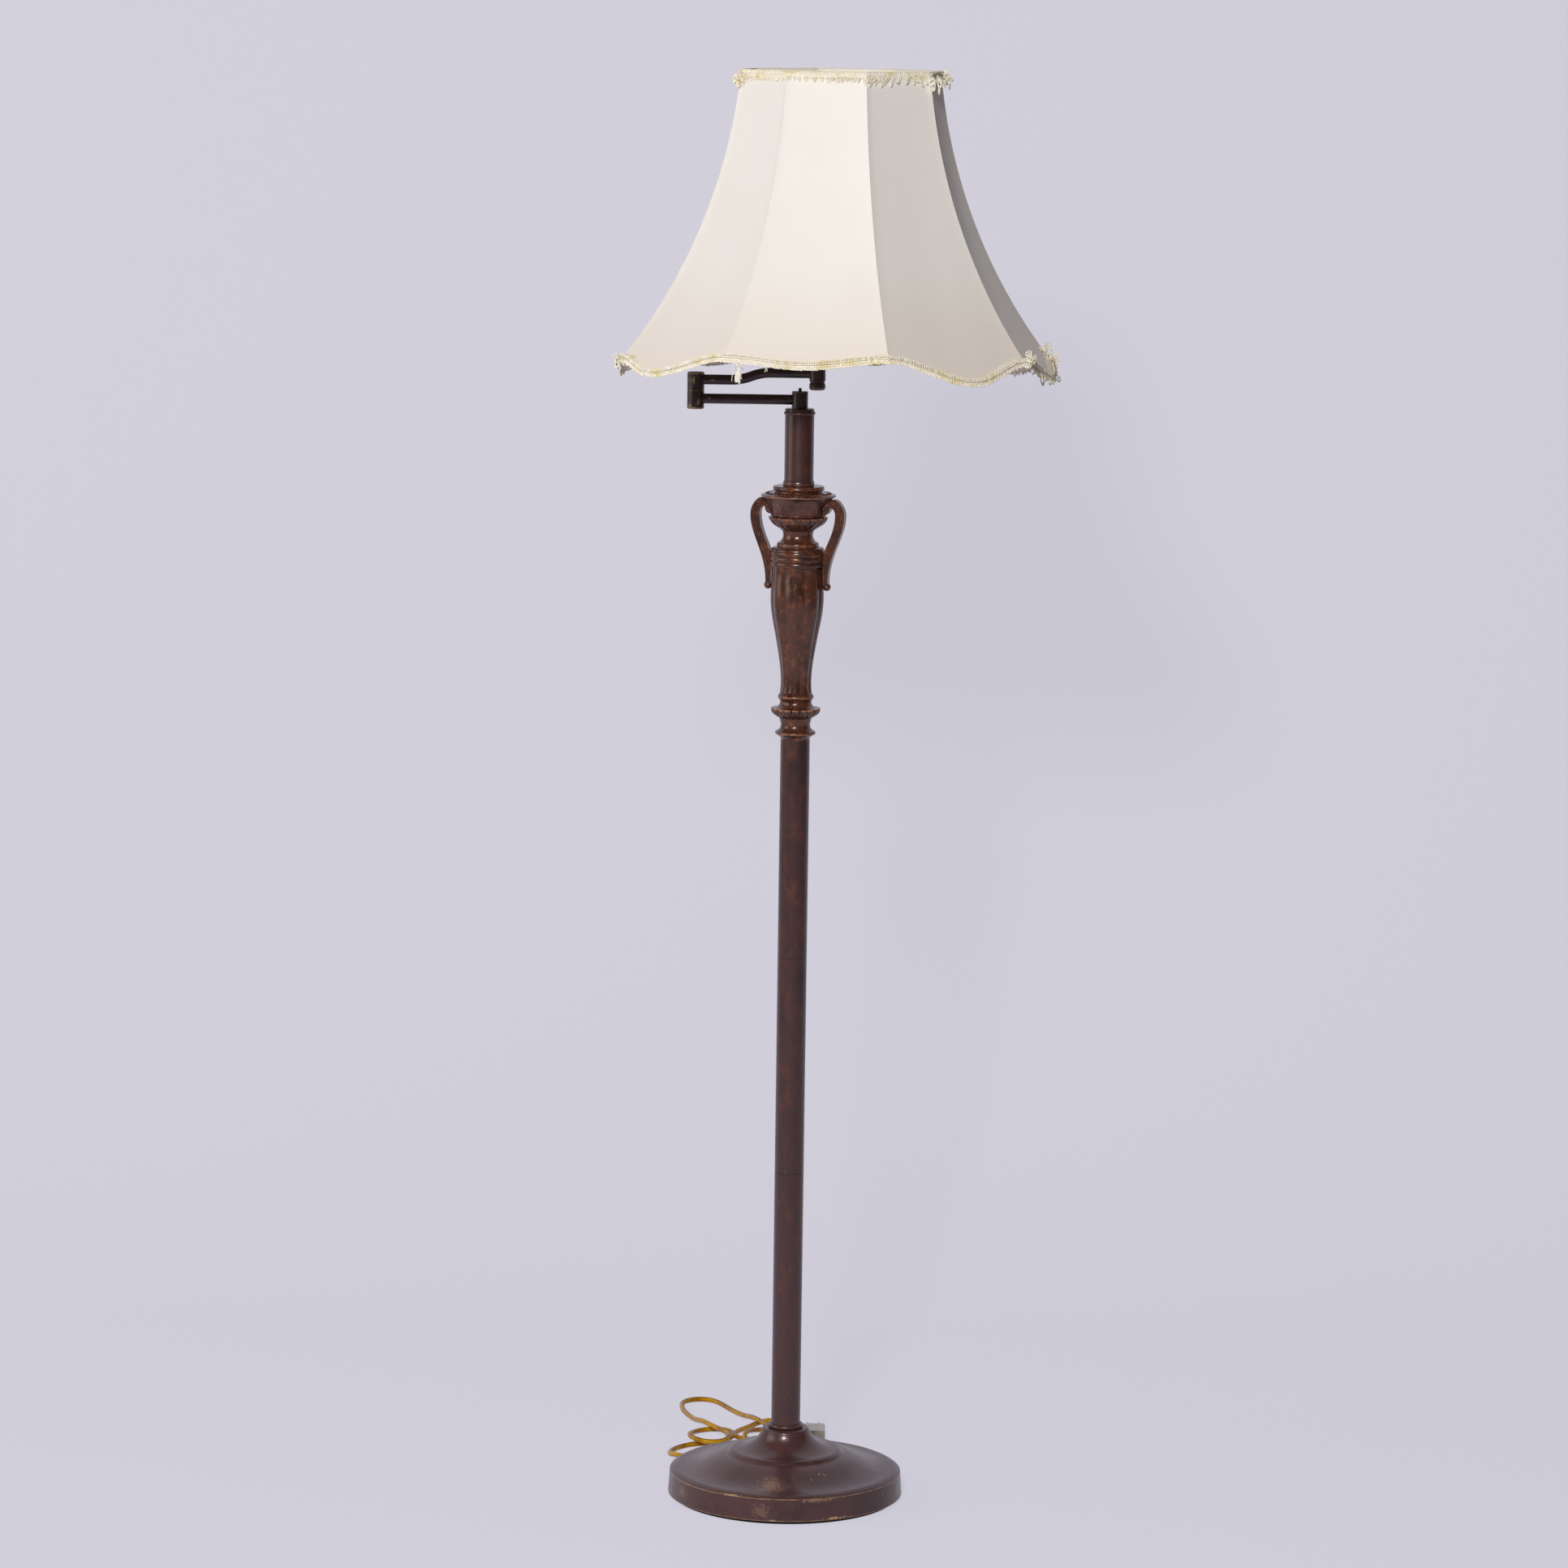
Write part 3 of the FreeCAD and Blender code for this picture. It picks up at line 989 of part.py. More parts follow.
def make_switch_knob():
    """The ribbed turn knob and its shaft."""
    start = SOCKET_RADIUS + KNOB_STANDOFF
    shaft = knob_way(KNOB_SHAFT_RADIUS, SOCKET_CORE_RADIUS - KNOB_SHAFT_DEPTH, start + 2.0)
    profile = closed_face(line((0, start), (KNOB_RADIUS - 1.2, start), (KNOB_RADIUS - 1.2, start + 2.0),
                               (KNOB_RADIUS, start + 3.0), (KNOB_RADIUS - 0.7, start + KNOB_LENGTH - 1.0),
                               (KNOB_RADIUS - 1.7, start + KNOB_LENGTH), (0, start + KNOB_LENGTH)))
    grip = profile.revolve(V(0, 0, 0), V(0, 0, 1), 360)
    for index in range(KNOB_FLUTES):
        bearing = 360.0 * index / KNOB_FLUTES
        flute = Part.makeCylinder(0.8, KNOB_LENGTH, polar(KNOB_RADIUS, bearing, start + 2.5))
        grip = grip.cut(flute)
    grip.rotate(V(0, 0, 0), V(1, 0, 0), 90)
    grip.translate(V(SOCKET_X, 0, KNOB_LEVEL))
    return grip.fuse(shaft)


def make_bulb_base():
    """The bulb's screw base with its contact."""
    foot, radius = CORE_TOP, BULB_BASE_RADIUS
    top = foot + BULB_BASE_HEIGHT
    threads = []
    level = foot + 4.5
    while level < top - 7.0:
        threads.append(arc((radius - 0.7, level), (radius, level + 1.8), (radius - 0.7, level + 3.6)))
        level += 3.6
    return spun(line((0, foot), (4.6, foot), (6.0, foot + 2.2), (radius - 2.4, foot + 3.4), (radius - 0.7, foot + 4.5)),
                *threads, line((radius - 0.7, level), (radius - 0.7, top), (0, top)), x=SOCKET_X)


def make_bulb_glass():
    """The bulb's pear-shaped glass."""
    foot = CORE_TOP + BULB_BASE_HEIGHT
    wide = foot + BULB_GLASS_HEIGHT - BULB_RADIUS
    neck = BULB_NECK_RADIUS
    glass = spun(line((0, foot), (neck, foot)),
                 curve((neck, foot), (neck + 1.2, foot + 8.0), (neck + 7.4, foot + 0.34 * BULB_GLASS_HEIGHT),
                       (BULB_RADIUS - 1.6, wide - 9.5), (BULB_RADIUS, wide)),
                 arc((BULB_RADIUS, wide), (BULB_RADIUS * math.sqrt(0.5), wide + BULB_RADIUS * math.sqrt(0.5)),
                     (0, wide + BULB_RADIUS)), x=SOCKET_X)
    return glass


# ================================================================ shade
def flare_circle():
    """Centre radius, centre height and radius of the arc that each seam follows."""
    points = [(SHADE_TOP_RADIUS, SHADE_TOP), (SHADE_WAIST_RADIUS, SHADE_TOP - SHADE_HEIGHT / 2),
              (SHADE_HEM_RADIUS, SHADE_HEM)]
    bow = Part.Arc(*[V(r, 0, z) for r, z in points]).toShape().Curve
    return bow.Center.x, bow.Center.z, bow.Radius


FLARE_R, FLARE_Z, FLARE_BOW = flare_circle()


def seam_radius(height, inset=0.0):
    """The shade's radius at a seam, at a height, measured inside the fabric by inset."""
    bow = FLARE_BOW + inset
    return FLARE_R - math.sqrt(bow * bow - (height - FLARE_Z) ** 2)


def seam_bearing(index):
    """The bearing of a seam from +X towards +Y."""
    return -90.0 + SHADE_TURN + index * 360.0 / SHADE_SIDES


def hem_level(index):
    """The height of the hem at a seam; the bottom wire is bent up towards the front."""
    return SHADE_HEM + HEM_RISE * max(0.0, -math.sin(math.radians(seam_bearing(index))))


def hem_dip(index):
    """Where a panel's hem is lowest, as a share of half its side, and how far it dips there."""
    bent = {SHADE_SIDES - 2: (LEFT_DIP_PLACE, SCALLOP), SHADE_SIDES - 1: (0.0, FRONT_SCALLOP),
            0: (RIGHT_DIP_PLACE, RIGHT_SCALLOP)}
    return bent.get(index, (0.0, SCALLOP))


def shade_point(radius, bearing, height):
    """A point about the shade's own axis."""
    return polar(radius, bearing, height, x=SHADE_X)


def octagon(height, inset):
    """The shade's level outline at a height, moved inwards by inset."""
    radius = seam_radius(height, inset)
    return Part.makePolygon([shade_point(radius, seam_bearing(index), height) for index in range(SHADE_SIDES + 1)])


def shade_sheet(outside, inside, top, foot, sections=7):
    """A bell-shaped sheet between two insets from the fabric's outer face."""
    heights = [top + (foot - top) * step / (sections - 1) for step in range(sections)]
    outer = Part.makeLoft([octagon(height, outside) for height in heights], True, False)
    inner = Part.makeLoft([octagon(height, inside) for height in heights], True, False)
    return outer.cut(inner)


def panel_wedge(index):
    """The slice of space that one panel stands in."""
    reach, foot, top = 2 * SHADE_HEM_RADIUS, SHADE_HEM - 100.0, SHADE_TOP + 100.0
    corners = [shade_point(0, 0, foot), shade_point(reach, seam_bearing(index), foot),
               shade_point(reach, seam_bearing(index + 1), foot)]
    return Part.Face(Part.makePolygon(corners + corners[:1])).extrude(V(0, 0, top - foot))


def hem_cutter(index, raised, far):
    """The block between one panel's waved hem line, raised by an amount, and a level far from it."""
    half = SHADE_HEM_RADIUS * math.sin(math.pi / SHADE_SIDES)
    left, right = hem_level(index + 1) + raised, hem_level(index) + raised
    place, depth = hem_dip(index)
    lowest = V(place * half, 0, (left + right) / 2 - depth)
    spread = 1.4 * half
    corners = [V(half, 0, right), V(spread, 0, right), V(spread, 0, far), V(-spread, 0, far),
               V(-spread, 0, left), V(-half, 0, left)]
    wave = Part.BSplineCurve()
    wave.interpolate([corners[-1], lowest, corners[0]], InitialTangent=V(1, 0, 0), FinalTangent=V(1, 0, 0))
    edges = [wave.toShape()]
    edges += [Part.LineSegment(a, b).toShape() for a, b in zip(corners, corners[1:])]
    block = Part.Face(Part.Wire(edges)).extrude(V(0, 1.4 * SHADE_HEM_RADIUS, 0))
    block.rotate(V(0, 0, 0), V(0, 0, 1), (seam_bearing(index) + seam_bearing(index + 1)) / 2 - 90.0)
    block.translate(V(SHADE_X, 0, 0))
    return block.common(panel_wedge(index))


def below_hem(raised):
    """Everything under the hem line, panel by panel."""
    return [hem_cutter(index, raised, SHADE_HEM - 90.0) for index in range(SHADE_SIDES)]


def above_hem(raised):
    """Everything over the hem line, panel by panel."""
    return [hem_cutter(index, raised, SHADE_HEM + 90.0) for index in range(SHADE_SIDES)]


HEM_FLOOR = SHADE_HEM - SCALLOP - RIGHT_SCALLOP        # under every piece's hem
HEM_CEILING = SHADE_HEM + HEM_RISE + 16.0              # over the whole hem
FRAME_INSET = FABRIC + LAP
FRAME_DEPTH = RIB_WIRE * (1 + 1 / math.cos(math.pi / SHADE_SIDES))


def make_shade_fabric():
    """The fabric on its eight panels, cut along the scalloped hem."""
    return shade_sheet(0.0, FABRIC, SHADE_TOP, HEM_FLOOR).cut(below_hem(0.0))


def make_shade_lining():
    """The thin lining inside the frame."""
    near = FRAME_INSET + FRAME_DEPTH + LAP
    return shade_sheet(near, near + LINING, SHADE_TOP - 9.0, HEM_FLOOR).cut(below_hem(3.0))


def make_shade_trim():
    """The gimp round the top edge and along the scalloped hem."""
    brim = SHADE_TOP + TRIM_OVERLAP
    top = shade_sheet(-TRIM_THICKNESS, -LAP, brim, brim - TRIM_WIDTH, sections=2)
    hem = shade_sheet(-TRIM_THICKNESS, -LAP, HEM_CEILING, HEM_FLOOR, sections=4)
    hem = hem.cut(below_hem(-TRIM_OVERLAP)).cut(above_hem(TRIM_WIDTH - TRIM_OVERLAP))
    return Part.makeCompound([top, hem])


def make_shade_frame():
    """The welded frame: a top ring, eight bent ribs and the scalloped wire along the hem."""
    inner = FRAME_INSET + FRAME_DEPTH
    ring = shade_sheet(FRAME_INSET, inner, SHADE_TOP - 0.8, SHADE_TOP - 0.8 - 2 * RIB_WIRE, sections=2)
    wire = shade_sheet(FRAME_INSET, inner, HEM_CEILING, HEM_FLOOR, sections=4)
    wire = wire.cut(below_hem(1.2)).cut(above_hem(1.2 + 2 * RIB_WIRE))
    rib_inset = FRAME_INSET + RIB_WIRE / math.cos(math.pi / SHADE_SIDES)
    ribs = []
    for index in range(SHADE_SIDES):
        top, foot = SHADE_TOP - 0.8 - 2 * RIB_WIRE, hem_level(index) + 1.2 + 2 * RIB_WIRE
        bow = Part.Arc(*[shade_point(seam_radius(height, rib_inset), seam_bearing(index), height)
                         for height in (top, (top + foot) / 2, foot)])
        ribs.append(piped([bow.toShape()], RIB_WIRE))
    return Part.makeCompound([ring, wire] + ribs)


def make_shade_spider():
    """The washer on the harp's stud and the four arms that carry the top ring."""
    washer = rod(SPIDER_WASHER_RADIUS, SPIDER_FOOT, SPIDER_TOP, STUD_RADIUS + 0.3, x=SHADE_X)
    ring_radius = seam_radius(SHADE_TOP - 2.0, FRAME_INSET + FRAME_DEPTH)
    arms = []
    for index in range(SPIDER_ARMS):
        bearing = seam_bearing(index * SHADE_SIDES // SPIDER_ARMS)
        route = [shade_point(SPIDER_WASHER_RADIUS - 4.0, bearing, SPIDER_TOP - SPIDER_WIRE + 1.2),
                 shade_point(SPIDER_WASHER_RADIUS + 12.0, bearing, SPIDER_TOP - SPIDER_WIRE + 1.2),
                 shade_point(ring_radius - 14.0, bearing, SHADE_TOP - 9.0),
                 shade_point(ring_radius + 1.0, bearing, SHADE_TOP - 2.6)]
        arms.append(piped(rounded_route(route), SPIDER_WIRE))
    spider = washer.fuse(arms)
    return spider.cut(rod(STUD_RADIUS + 0.3, SPIDER_FOOT - 5.0, SPIDER_TOP + 5.0, x=SHADE_X))


# ================================================================ cord
def coil_state(turned):
    """Radius and height of the coil's centre line after so many turns from its start."""
    inner = COIL_RADIUS - COIL_PITCH * COIL_TURNS_IN
    if turned <= COIL_TURNS_IN:
        return COIL_RADIUS - COIL_PITCH * turned, CORD_LEVEL
    if turned <= COIL_TURNS_IN + 0.5:
        share = (turned - COIL_TURNS_IN) / 0.5
        dip = COIL_PITCH / 2 * (share * share - share)
        climb = COIL_PITCH * (3 * share ** 2 - 2 * share ** 3)
        return inner + dip, CORD_LEVEL + climb
    return inner + COIL_PITCH * (turned - COIL_TURNS_IN - 0.5), CORD_LEVEL + COIL_PITCH


def coil_point(turned):
    """A point of the coil's centre line."""
    radius, height = coil_state(turned)
    return polar(radius, COIL_START + 360.0 * turned, height, x=COIL_CENTRE[0], y=COIL_CENTRE[1])


def coil_heading(turned):
    """The direction of the coil's centre line, level at its two ends."""
    small = 1e-4
    heading = coil_point(turned + small) - coil_point(turned - small)
    heading.normalize()
    return heading


COIL_TURNS = COIL_TURNS_IN + 0.5 + COIL_TURNS_OUT


def coil_edges():
    """The coil's centre line as biarcs of a quarter turn, with a short straight run at each end."""
    marks = [COIL_TURNS_IN * step / 9 for step in range(9)]
    marks += [COIL_TURNS_IN, COIL_TURNS_IN + 0.25, COIL_TURNS_IN + 0.5]
    marks += [COIL_TURNS_IN + 0.5 + COIL_TURNS_OUT * (step + 1) / 8 for step in range(8)]
    edges = []
    for before, after in zip(marks, marks[1:]):
        edges += biarc(coil_point(before), coil_heading(before), coil_point(after), coil_heading(after))
    stub = 2 * CORD_RADIUS
    start, end = coil_point(0), coil_point(COIL_TURNS)
    entry = Part.LineSegment(start - coil_heading(0) * stub, start).toShape()
    leave = Part.LineSegment(end, end + coil_heading(COIL_TURNS) * stub).toShape()
    return [entry] + edges + [leave]


def coil_gap():
    """The least gap between neighbouring turns, measured on points of the centre line."""
    count = 400
    points = [coil_point(COIL_TURNS * step / count) for step in range(count + 1)]
    apart = count / COIL_TURNS * 0.5
    least = min(points[i].distanceToPoint(points[j])
                for i in range(0, count + 1, 2) for j in range(i + int(apart), count + 1, 2))
    return least - 2 * CORD_RADIUS


def cord_route():
    """The cord from the bushing's tip to the coil: a chosen list of corner points."""
    low, over = CORD_LEVEL, CORD_OVER
    tip = bushing_direction() * (COVER_EDGE_RADIUS + BUSHING_LENGTH) + V(0, 0, BUSHING_LEVEL)
    loose = [(-119, 119, 9.6), (-127, 138, 5.2), (-127, 158, low), (-118, 176, low), (-102, 190, low),
             (-76, 197, low), (-64, 209, low), (-56, 236, low), (-66, 252, low), (-80, 256, low),
             (-93, 251, low), (-103, 236, 4.2), (-108, 205, over), (-99, 184, over), (-85, 178, 8.4),
             (-70, 182, 8.2), (-62, 195, over), (-65, 218, over), (-81, 242, over), (-93, 266, over),
             (-103, 291, 4.2), (-111, 317, low), (-118, 343, low), (-119, 370, low), (-109, 384, low),
             (-95, 388, low), (-81, 380, low), (-70, 359, low), (-59, 334, low), (-47, 310, 4.2),
             (-37, 285, over), (-25, 261, over), (-14, 235, over), (-18, 220, 4.4), (-31, 211, low),
             (-46, 213, low), (-56, 224, low), (-57, 243, low), (-41, 267, low), (-26, 294, low),
             (-7, 298, low), (6, 291, low), (11, 277, low), (7, 263, low), (-6, 254, low),
             (-31, 248, 5.0), (-43, 224, over), (-46, 204, over)]
    start = coil_point(0) - coil_heading(0) * 2 * CORD_RADIUS
    before = coil_point(0) - coil_heading(0) * COIL_LEAD
    return [tip] + [V(*point) for point in loose] + [before, start]


def make_cord():
    return piped(rounded_route(cord_route()), CORD_RADIUS)


def make_cord_coil():
    return piped(coil_edges(), CORD_RADIUS)


def tail_points():
    """The short run from the coil to the plug's neck."""
    start = coil_point(COIL_TURNS) + coil_heading(COIL_TURNS) * 2 * CORD_RADIUS
    return [start, start + V(0.6, 0.5 * TAIL_LENGTH, -0.9), V(start.x, start.y + TAIL_LENGTH, PLUG_LEVEL)]


def make_cord_tail():
    return piped(rounded_route(tail_points()), CORD_RADIUS)


def plug_foot():
    """The middle of the plug body's cord end."""
    return tail_points()[-1] + V(0, PLUG_NECK_LENGTH, 0)


def make_plug_body():
    """The clear moulded plug with its tapered neck."""
    foot = plug_foot()
    height = 2 * PLUG_LEVEL
    body = Part.makeBox(PLUG_WIDTH, PLUG_LENGTH, height, V(foot.x - PLUG_WIDTH / 2, foot.y, 0))
    body = body.makeFillet(min(PLUG_ROUND, 0.4 * height), body.Edges)
    neck = Part.makeCone(CORD_RADIUS + 0.6, CORD_RADIUS + 3.0, PLUG_NECK_LENGTH + 1.0,
                         V(foot.x, foot.y - PLUG_NECK_LENGTH, PLUG_LEVEL), V(0, 1, 0))
    return body.fuse(neck)


def make_plug_blades():
    """The plug's two flat blades."""
    foot = plug_foot()
    blades = []
    for side in (-1, 1):
        corner = V(foot.x + side * BLADE_SPACING / 2 - BLADE_THICKNESS / 2, foot.y + PLUG_LENGTH,
                   PLUG_LEVEL - BLADE_WIDTH / 2)
        blades.append(Part.makeBox(BLADE_THICKNESS, BLADE_LENGTH, BLADE_WIDTH, corner))
    return Part.makeCompound(blades)


# ================================================================ the lamp
def build():
    """Every piece of the lamp by name."""
    pieces = {
        "floor_pad": make_floor_pad(),
        "base_weight": make_base_weight(),
        "base_cover": make_base_cover(),
        "base_nipple": make_base_nipple(),
        "base_washer": make_base_washer(),
        "base_nut": make_base_nut(),
        "cord_bushing": make_cord_bushing(),
        "inner_lead": make_inner_lead(),
        "foot_ring": make_foot_ring(),
        "lower_pole": pole_tube(POLE_FOOT, MIDDLE_FOOT),
        "middle_pole": pole_tube(MIDDLE_FOOT, UPPER_FOOT),
        "upper_pole": pole_tube(UPPER_FOOT, COLLAR_FOOT),
        "lower_pole_plugs": pole_plugs(POLE_FOOT, MIDDLE_FOOT),
        "middle_pole_plugs": pole_plugs(MIDDLE_FOOT, UPPER_FOOT),
        "upper_pole_plugs": pole_plugs(UPPER_FOOT, COLLAR_FOOT),
        "pole_couplers": make_pole_couplers(),
        "gadroon_collar": make_gadroon_collar(),
        "vase_body": make_vase_body(),
        "pedestal_cup": make_pedestal_cup(),
        "check_ring": make_check_ring(),
        "urn_rod": make_urn_rod(),
        "neck_foot": make_neck_foot(),
        "neck_tube": make_neck_tube(),
        "neck_cap": make_neck_cap(),
        "swivel_stem": make_swivel_stem(),
        "pole_hub": make_pole_hub(),
        "lower_arm_tube": make_lower_arm_tube(),
        "elbow_lower_hub": make_elbow_lower_hub(),
        "elbow_pivot": make_elbow_pivot(),
        "elbow_washer": make_elbow_washer(),
        "elbow_upper_hub": make_elbow_upper_hub(),
        "upper_arm_tube": make_upper_arm_tube(),
        "socket_block": make_socket_block(),
        "block_cap": make_block_cap(),
        "socket_nipple": make_socket_nipple(),
        "harp_saddle": make_harp_saddle(),
        "harp_sleeves": make_harp_sleeves(),
        "harp": make_harp(),
        "harp_stud": make_harp_stud(),
        "finial": make_finial(),
        "socket_cap": make_socket_cap(),
        "socket_shell": make_socket_shell(),
        "socket_liner": make_socket_liner(),
        "socket_core": make_socket_core(),
        "screw_shell": make_screw_shell(),
        "switch_knob": make_switch_knob(),
        "bulb_base": make_bulb_base(),
        "bulb_glass": make_bulb_glass(),
        "shade_spider": make_shade_spider(),
        "shade_frame": make_shade_frame(),
        "shade_fabric": make_shade_fabric(),
        "shade_lining": make_shade_lining(),
        "shade_trim": make_shade_trim(),
        "cord": make_cord(),
        "cord_coil": make_cord_coil(),
        "cord_tail": make_cord_tail(),
        "plug_body": make_plug_body(),
        "plug_blades": make_plug_blades(),
    }
    urn = (pieces["vase_body"], pieces["pedestal_cup"])
    blank = handle_blank()
    pieces["right_handle"] = make_handle(blank, -HANDLE_TURN, urn)
    pieces["left_handle"] = make_handle(blank, 180.0 - HANDLE_TURN, urn)
    return pieces


def report_cord():
    """Print the cord's bend radii, its length and the coil's least gap."""
    route = cord_route()
    radii = route_radii(route)
    print("cord radii", " ".join("%.0f" % radius for radius in radii))
    loose = sum(edge.Length for edge in rounded_route(route))
    wound = sum(edge.Length for edge in coil_edges())
    tail = sum(edge.Length for edge in rounded_route(tail_points()))
    print("cord length %.0f + coil %.0f + tail %.0f = %.0f mm" % (loose, wound, tail, loose + wound + tail))
    section = math.pi * CORD_RADIUS ** 2
    print("cord volume ratio %.4f, coil volume ratio %.4f, coil gap %.2f mm"
          % (make_cord().Volume / (section * loose), make_cord_coil().Volume / (section * wound), coil_gap()))


def main():
    os.makedirs("parts", exist_ok=True)
    for name, shape in build().items():
        assert shape.isValid() and shape.Volume > 0, name
        shape.exportStep("parts/%s.step" % name)
    report_cord()


main()
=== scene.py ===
import json
import logging
import math
import random
from collections.abc import Callable, Iterable, Sequence
from dataclasses import dataclass, field
from enum import Enum

import bpy
from mathutils import Matrix, Vector


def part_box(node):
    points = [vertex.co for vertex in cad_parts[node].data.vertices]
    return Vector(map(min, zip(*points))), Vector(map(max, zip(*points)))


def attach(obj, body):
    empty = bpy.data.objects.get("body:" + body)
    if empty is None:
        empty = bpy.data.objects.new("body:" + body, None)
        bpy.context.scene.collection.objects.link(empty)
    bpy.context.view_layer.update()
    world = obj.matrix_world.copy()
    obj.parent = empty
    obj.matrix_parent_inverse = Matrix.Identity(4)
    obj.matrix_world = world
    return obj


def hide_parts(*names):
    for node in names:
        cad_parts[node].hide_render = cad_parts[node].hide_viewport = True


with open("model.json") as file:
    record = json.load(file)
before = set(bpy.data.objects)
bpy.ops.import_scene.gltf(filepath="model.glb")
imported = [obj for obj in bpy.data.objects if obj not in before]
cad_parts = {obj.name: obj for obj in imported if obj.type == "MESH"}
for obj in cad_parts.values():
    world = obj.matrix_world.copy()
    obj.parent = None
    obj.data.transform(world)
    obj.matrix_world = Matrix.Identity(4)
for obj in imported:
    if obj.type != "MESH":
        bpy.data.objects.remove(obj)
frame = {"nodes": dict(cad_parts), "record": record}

LOG = logging.getLogger("floor_lamp")
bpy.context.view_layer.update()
Colour = tuple[float, float, float]


# ---------------------------------------------------------------- words and small tools
class Slot(Enum):
    """The finishes of the lamp, as the record names them."""

    FELT = "felt"
    CAST_IRON = "cast_iron_raw"
    BASE_PAINT = "base_paint"
    ZINC = "zinc"
    CORD = "cord_plastic"
    POLE_PAINT = "pole_paint"
    URN_BRONZE = "urn_bronze"
    ARM_BRONZE = "arm_bronze"
    BRASS = "brass"
    CARD = "card"
    PHENOLIC = "phenolic"
    BULB_CAP = "aluminium_cap"
    BULB_GLASS = "bulb_glass"
    FRAME_WIRE = "frame_wire"
    SHADE_CLOTH = "shade_cloth"
    LINING = "lining_cloth"
    TRIM = "trim_gimp"
    PLUG = "plug_plastic"


class Body(Enum):
    """The rigid bodies that pieces ride on."""

    STAND = "stand"
    LOWER_ARM = "lower_arm"
    UPPER_ARM = "upper_arm"
    SWITCH = "switch_knob"


def linear(red: int, green: int, blue: int) -> Colour:
    """Turn a colour as a screen shows it into the linear values that shaders take.

    Args:
        red: Red from 0 to 255.
        green: Green from 0 to 255.
        blue: Blue from 0 to 255.

    Returns:
        The three linear values from 0 to 1.
    """
    values = []
    for channel in (red, green, blue):
        share = channel / 255
        values.append(share / 12.92 if share <= 0.04045 else ((share + 0.055) / 1.055) ** 2.4)
    return values[0], values[1], values[2]


def deselect() -> None:
    """Leave nothing selected."""
    if bpy.context.object and bpy.context.object.mode != "OBJECT":
        bpy.ops.object.mode_set(mode="OBJECT")
    bpy.ops.object.select_all(action="DESELECT")


def activate(piece: bpy.types.Object) -> None:
    """Select one piece alone and make it active.

    Args:
        piece: The piece to work on.
    """
    deselect()
    piece.select_set(True)
    bpy.context.view_layer.objects.active = piece


def edit_all(piece: bpy.types.Object) -> None:
    """Open a piece in edit mode with all of it selected.

    Args:
        piece: The piece to work on.
    """
    activate(piece)
    bpy.ops.object.mode_set(mode="EDIT")
    bpy.ops.mesh.select_all(action="SELECT")


def named(name: str) -> bpy.types.Object:
    """Name the active piece and its mesh.

    Args:
        name: The piece's new name.

    Returns:
        The piece.
    """
    piece = bpy.context.object
    piece.name = name
    piece.data.name = name
    return piece


def settle(piece: bpy.types.Object) -> None:
    """Put a piece's place, turn and size into its mesh.

    Args:
        piece: The piece to settle.
    """
    activate(piece)
    bpy.ops.object.transform_apply(location=True, rotation=True, scale=True)


def finish_with(piece: bpy.types.Object, kind: str, **settings: object) -> None:
    """Add a modifier to a piece and apply it.

    Args:
        piece: The piece to change.
        kind: The modifier's type.
        **settings: Values for the modifier's own fields.
    """
    activate(piece)
    bpy.ops.object.modifier_add(type=kind)
    modifier = piece.modifiers[-1]
    for key, value in settings.items():
        setattr(modifier, key, value)
    bpy.ops.object.modifier_apply(modifier=modifier.name)


def smooth(piece: bpy.types.Object, degrees: float = 40.0) -> None:
    """Shade a piece smooth up to an angle.

    Args:
        piece: The piece to shade.
        degrees: Edges sharper than this stay sharp.
    """
    activate(piece)
    bpy.ops.object.shade_smooth_by_angle(angle=math.radians(degrees))


def join(pieces: Sequence[bpy.types.Object], name: str) -> bpy.types.Object:
    """Join pieces into one.

    Args:
        pieces: The pieces, of which the first is kept.
        name: The joined piece's name.

    Returns:
        The joined piece.
    """
    activate(pieces[0])
    for piece in pieces[1:]:
        piece.select_set(True)
    bpy.ops.object.join()
    return named(name)


def spread(seed_piece: bpy.types.Object, places: Iterable[Matrix], name: str) -> bpy.types.Object:
    """Copy a small piece to many places and join the copies.

    Args:
        seed_piece: The piece that is modelled once; it goes into the result.
        places: Where each copy goes.
        name: The result's name.

    Returns:
        One piece that holds all copies, each with its own part of the mesh.
    """
    source = seed_piece.data
    corners = [vertex.co.copy() for vertex in source.vertices]
    faces = [tuple(face.vertices) for face in source.polygons]
    all_corners: list[Vector] = []
    all_faces: list[tuple[int, ...]] = []
    for place in places:
        start = len(all_corners)
        all_corners.extend(place @ corner for corner in corners)
        all_faces.extend(tuple(start + index for index in face) for face in faces)
    mesh = bpy.data.meshes.new(name)
    mesh.from_pydata(all_corners, [], all_faces)
    mesh.update()
    seed_piece.data = mesh
    bpy.data.meshes.remove(source)
    activate(seed_piece)
    return named(name)


def hand_over(piece: bpy.types.Object, body: Body, slot: Slot, material: bpy.types.Material,
              *replaced: str) -> bpy.types.Object:
    """Dress a new piece, let it ride on its body and stand for the CAD nodes it replaces.

    Args:
        piece: The piece.
        body: The body that it moves with.
        slot: The record's finish for the piece; not used.
        material: Its material.
        *replaced: Names of the CAD nodes that it replaces.

    Returns:
        The piece.
    """
    piece.data.materials.clear()
    piece.data.materials.append(material)
    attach(piece, body.value)
    if replaced:
        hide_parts(*replaced)
    LOG.info("piece %s", piece.name)
    return piece


